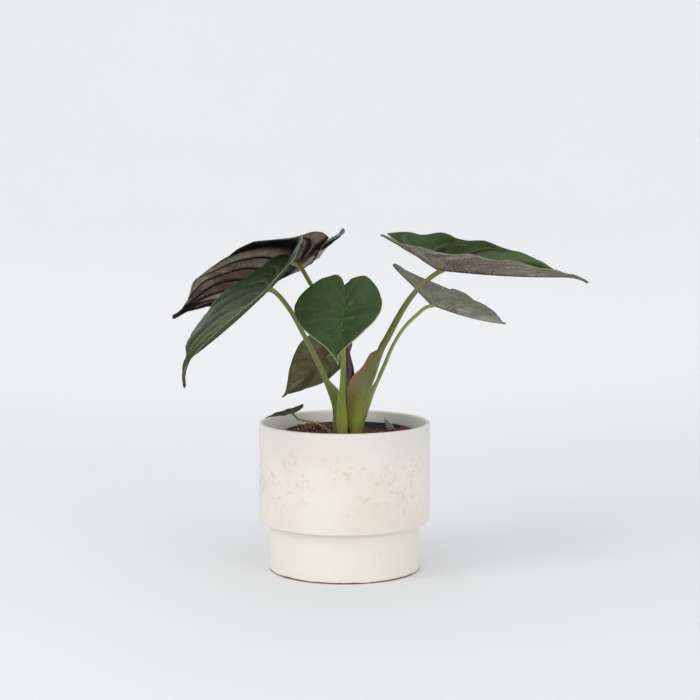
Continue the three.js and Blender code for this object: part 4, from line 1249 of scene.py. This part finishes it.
lowLeaf = {
    **plainLeaf, "node": "low", "at": (-15.9, 27.5, 183.3), "reach": 53.7, "lobes": 27, "notch": 12,
    "half": 31.3, "heading": 186.7, "dip": 42.7, "roll": 50, "left": (11, 11), "right": (9.3, 11.5),
    "arch": 3.7, "raise": 9.4, "hook": 2, "quilt": 0.8, "wave": (0.4, 5, 0), "uneven": 0.3, "groove": 0.3,
    "ribs": 0.7, "sweep": 0.12, "cuts": (14, 20),
    "route": [
        (-3, 9.5, 118), (-2.6, 13, 148), (-2.2, 17, 168), (-3, 20.5, 181), (-6.2, 23.5, 186.6),
        (-11, 26, 186.2),
    ],
    "radius": (2.4, 1.3), "inward": (0.5, -1), "sheath": (140, 2, 2.4),
    "skin": {
        **plainSkin, "deep": (52, 56, 34), "green": (66, 70, 42), "grey": (70, 68, 48),
        "vein": (100, 102, 66), "tip": (48, 30, 26), "tipShare": 0.8, "dust": 0.2, "margin": (60, 56, 38),
        "marginShare": 0.6, "underDeep": (84, 84, 54), "under": (122, 120, 88), "crease": 0.25,
        "creaseTone": (62, 58, 38), "underVein": (112, 108, 74), "underNet": 0.15, "underVeins": 0.3,
        "underRib": 0.4, "ribTone": (84, 80, 52), "underTip": 0.85, "underMargin": 0.7,
        "underEdge": (50, 46, 30),
        "underBlotches": [
            (1, 0.9, 0.3, 0.2, 0.9, (140, 138, 114), 0.6), (-1, 0.9, 0.3, 0.2, 0.9, (140, 138, 114), 0.6),
            (-1, 0.44, 0.3, 0.12, 0.5, (128, 126, 94), 0.5), (-1, 0.52, 0.7, 0.1, 0.6, (142, 140, 104), 0.6),
        ],
    },
    "stalk": {
        **plainStalk, "foot": (118, 128, 58), "top": (132, 128, 92), "change": (10.0, 60.0),
        "streak": (140, 146, 84), "shade": (92, 96, 50), "flush": (150, 130, 90), "edge": (190, 180, 140),
    },
}
tinyLeaf = {
    **plainLeaf, "node": "tiny", "at": (-45.5, -27.4, 142), "reach": 23.1, "lobes": 12, "notch": 5.3,
    "half": 8.1, "heading": 182.7, "dip": 13.9, "roll": -6.3, "left": (21.5, -13.6), "right": (18.5, -1.3),
    "arch": 7.3, "raise": 13, "hook": 36, "quilt": 0.4, "wave": (0.3, 5, 0), "uneven": 0.25, "groove": 0.2,
    "ribs": 0.35, "sweep": 0.02, "cuts": (10, 12),
    "route": [(-11, -5, 119), (-21.1, -11.2, 128), (-26.6, -14.5, 131), (-39.3, -18.2, 134.3)],
    "radius": (1.5, 0.9), "inward": (1, 0), "sheath": (121, 0, 1.5),
    "skin": {
        **plainSkin, "deep": (40, 42, 30), "green": (60, 64, 46), "grey": (66, 66, 52), "greying": 0.4,
        "vein": (104, 106, 80), "net": 0.1, "tip": (60, 50, 42), "tipShare": 0.6, "dust": 0.2,
        "margin": (60, 56, 44), "rough": 0.42, "shine": 0.05, "underDeep": (66, 64, 50),
        "under": (84, 80, 62), "creaseTone": (42, 38, 32), "underVein": (92, 86, 66), "underNet": 0.12,
        "underVeins": 0.3, "underRib": 0.4, "ribTone": (58, 52, 42), "underTip": 0.6,
        "underEdge": (50, 44, 36),
    },
    "stalk": {
        **plainStalk, "foot": (128, 120, 72), "top": (134, 130, 88), "change": (0.0, 18.0),
        "streak": (150, 142, 96), "shade": (98, 90, 56), "flush": (130, 110, 80), "flushShare": 0.0,
        "edge": (160, 150, 110), "edgeShare": 0.2,
    },
}
leaves = {"BackLeft": backLeftLeaf, "FrontLeft": frontLeftLeaf, "Front": frontLeaf, "Right": rightLeaf,
          "BackRight": backRightLeaf, "Low": lowLeaf, "Tiny": tinyLeaf}
for name, leaf in leaves.items():
    makeBlade(name, leaf)
    makeStalk(name, leaf)
print("leaves are grown:", len(leaves))


# the young leaf, still rolled, and the side shoot

rolledLeaf = {
    "route": [(6.6, -0.8, 124), (6.2, -1.2, 140), (6, -1.4, 154), (5.2, -1.2, 172), (3.6, -0.6, 186),
              (1.4, 0, 200)],
    "radii": (2.4, 3, 3.4, 3.6, 2.3, 0.4), "sides": 48, "rows": 110, "overlap": 0.16, "twist": 1.4,
    "maroon": (66, 34, 38), "dark": (36, 20, 24), "streak": (128, 92, 80), "foot": (108, 106, 54),
}
sideShoot = {
    "route": [(42.4, 27, 111), (41.4, 27, 118), (38.6, 27, 124), (35.5, 27, 129.3)],
    "breadths": (4, 4, 2.6, 0.4), "thinnest": 0.12, "flatness": 0.5, "sides": 40, "rows": 40,
    "room": (41.5, 27, 4.6),  # the bark keeps clear of this place, by this much
    "pale": (142, 146, 132), "grey": (112, 116, 100), "edge": (176, 176, 158), "foot": (96, 84, 62),
}


def finishTube(piece):
    mergeDoubles(piece)
    closeEnds(piece)
    faceOutwards(piece)
    shade(piece, 60)


def sizesAlong(sizes, share):
    return throughPoints([(size,) for size in sizes], share)[:, 0]


def makeRolledLeaf(look):
    kept = {}

    def place(u, v):
        middle, radius = throughPoints(look["route"], v), sizesAlong(look["radii"], v)
        # one turn of the blade lies over the other, and its edge winds up the spear
        lap = 1 - look["overlap"] * smoothstep(u, 0.35, 1.0) * np.clip(radius / 3, 0, 1)
        turn = 2 * math.pi * u + look["twist"] * v * 2 - 2.2
        reach = radius * lap * (1 + 0.02 * np.sin(9 * turn + 30 * v))
        kept["grain"] = np.cos(2 * math.pi * u), np.sin(2 * math.pi * u), middle[:, 2] / 10
        return middle + np.stack([reach * np.cos(turn), reach * np.sin(turn), 0 * reach], axis=1)

    piece, u = shapedGrid("rolledLeafSpear", look["sides"], look["rows"], place)
    keepValues(piece, "grainPlace", *kept["grain"])
    # the seam: the outer edge is joined to the turn under it by a narrow step
    seam = (u < 0.001) | (u > 0.999)
    piece.data.vertices.foreach_set("select", seam)
    piece.data.polygons.foreach_set("select", [False] * len(piece.data.polygons))
    for line in piece.data.edges:
        a, b = line.vertices
        line.select = bool(seam[a] and seam[b] and abs(u[a] - u[b]) < 0.5)
    with editing(piece, None, "EDGE"):
        bpy.ops.mesh.bridge_edge_loops()
    finishTube(piece)
    dress(piece, rolledSkin(look))
    settle(piece, "rolled_leaf", "rolled_leaf")


def rolledSkin(look):
    material, place = newMaterial("rolledLeafSkin")
    grain = attribute(place.tree, "grainPlace")
    veins = noiseOf(stretched(grain, (6, 6, 1.1), (0.35, 0.2, 0)), 1.3, 4, 0.5)
    colour = layered(mixed(veins.ramp(0.35, 0.65), look["dark"], look["maroon"]), [
        (veins.ramp(0.6, 0.78), look["streak"], 0.6),
        (grain.split()[2].ramp(17.4, 15.6), look["foot"], 1.0),
    ])
    surface(colour, veins.ramp(0.3, 0.7, 0.32, 0.48), veins, 0.35, 0.3)
    return material


def makeSideShoot(look):
    def place(u, v):
        half = np.maximum(sizesAlong(look["breadths"], v), look["thinnest"])
        turn = 2 * math.pi * u
        # a keel down the back and a hollow down the front
        keel = 1 + 0.16 * np.exp(-((u - 0.25) / 0.05) ** 2) - 0.34 * np.exp(-((u - 0.75) / 0.09) ** 2)
        ribs = 1 + 0.03 * np.sin(14 * turn)
        x, y = half * np.cos(turn) * ribs, half * look["flatness"] * np.sin(turn) * keel * ribs
        return throughPoints(look["route"], v) + np.stack([x, y, 0 * x], axis=1)

    piece, _ = shapedGrid("sideShootSheath", look["sides"], look["rows"], place)
    finishTube(piece)
    dress(piece, sideShootSkin(look))
    settle(piece, "shoot", "side_shoot")


def sideShootSkin(look):
    material, place = newMaterial("sideShootSkin")
    height = place.split()[2]
    fibres = noiseOf(stretched(place, (1, 1, 0.12)), 900, 4, 0.5)
    colour = mixed(fibres.ramp(0.35, 0.68), look["grey"], look["pale"])
    colour = mixed(height.ramp(0.125, 0.129), colour, look["edge"])
    colour = mixed(height.ramp(0.1215, 0.1165), colour, look["foot"])
    surface(colour, 0.6, fibres, 0.3, 0.25)
    return material


makeRolledLeaf(rolledLeaf)
makeSideShoot(sideShoot)
print("rolled leaf and side shoot are in place")


# the soil comes last, because its crumbs keep clear of what stands in it

stalkFeet = [(*leaf["route"][0][:2], leaf["radius"][0] + 1.0) for leaf in leaves.values()]
stalkFeet.append(sideShoot["room"])
makeSoilBed(soil)
barkMix = soilMix("barkMix")
scatter("barkChips", bark, barkMix)
scatter("perliteCrumbs", perlite, perliteWhite(perlite))
makeFibres(coir, barkMix)
print("soil is filled in, with its bark, coir and perlite")


# rootstock: a CAD piece that keeps its shape

rootstock = {"cork": (122, 92, 60), "dark": (70, 50, 34), "green": (120, 122, 70)}


def corkSkin(look):
    material, place = newMaterial("rootstockCork")
    rings = ringsOf(place, 120.0, 6.0, 3.0)
    colour = mixed(rings.ramp(0.2, 0.8), look["dark"], look["cork"])
    colour = mixed(noiseOf(place, 90, 4).ramp(0.5, 0.7), colour, look["green"])
    surface(colour, 0.85, rings, 0.6, 0.6)
    return material


dress(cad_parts["rootstock"], corkSkin(rootstock))

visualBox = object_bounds()
print("boxes in mm, lowest and highest corner:")
for label, box in (("cad", cadBox), ("visual", visualBox)):
    print(label, [[round(c / mm, 1) for c in corner] for corner in box])
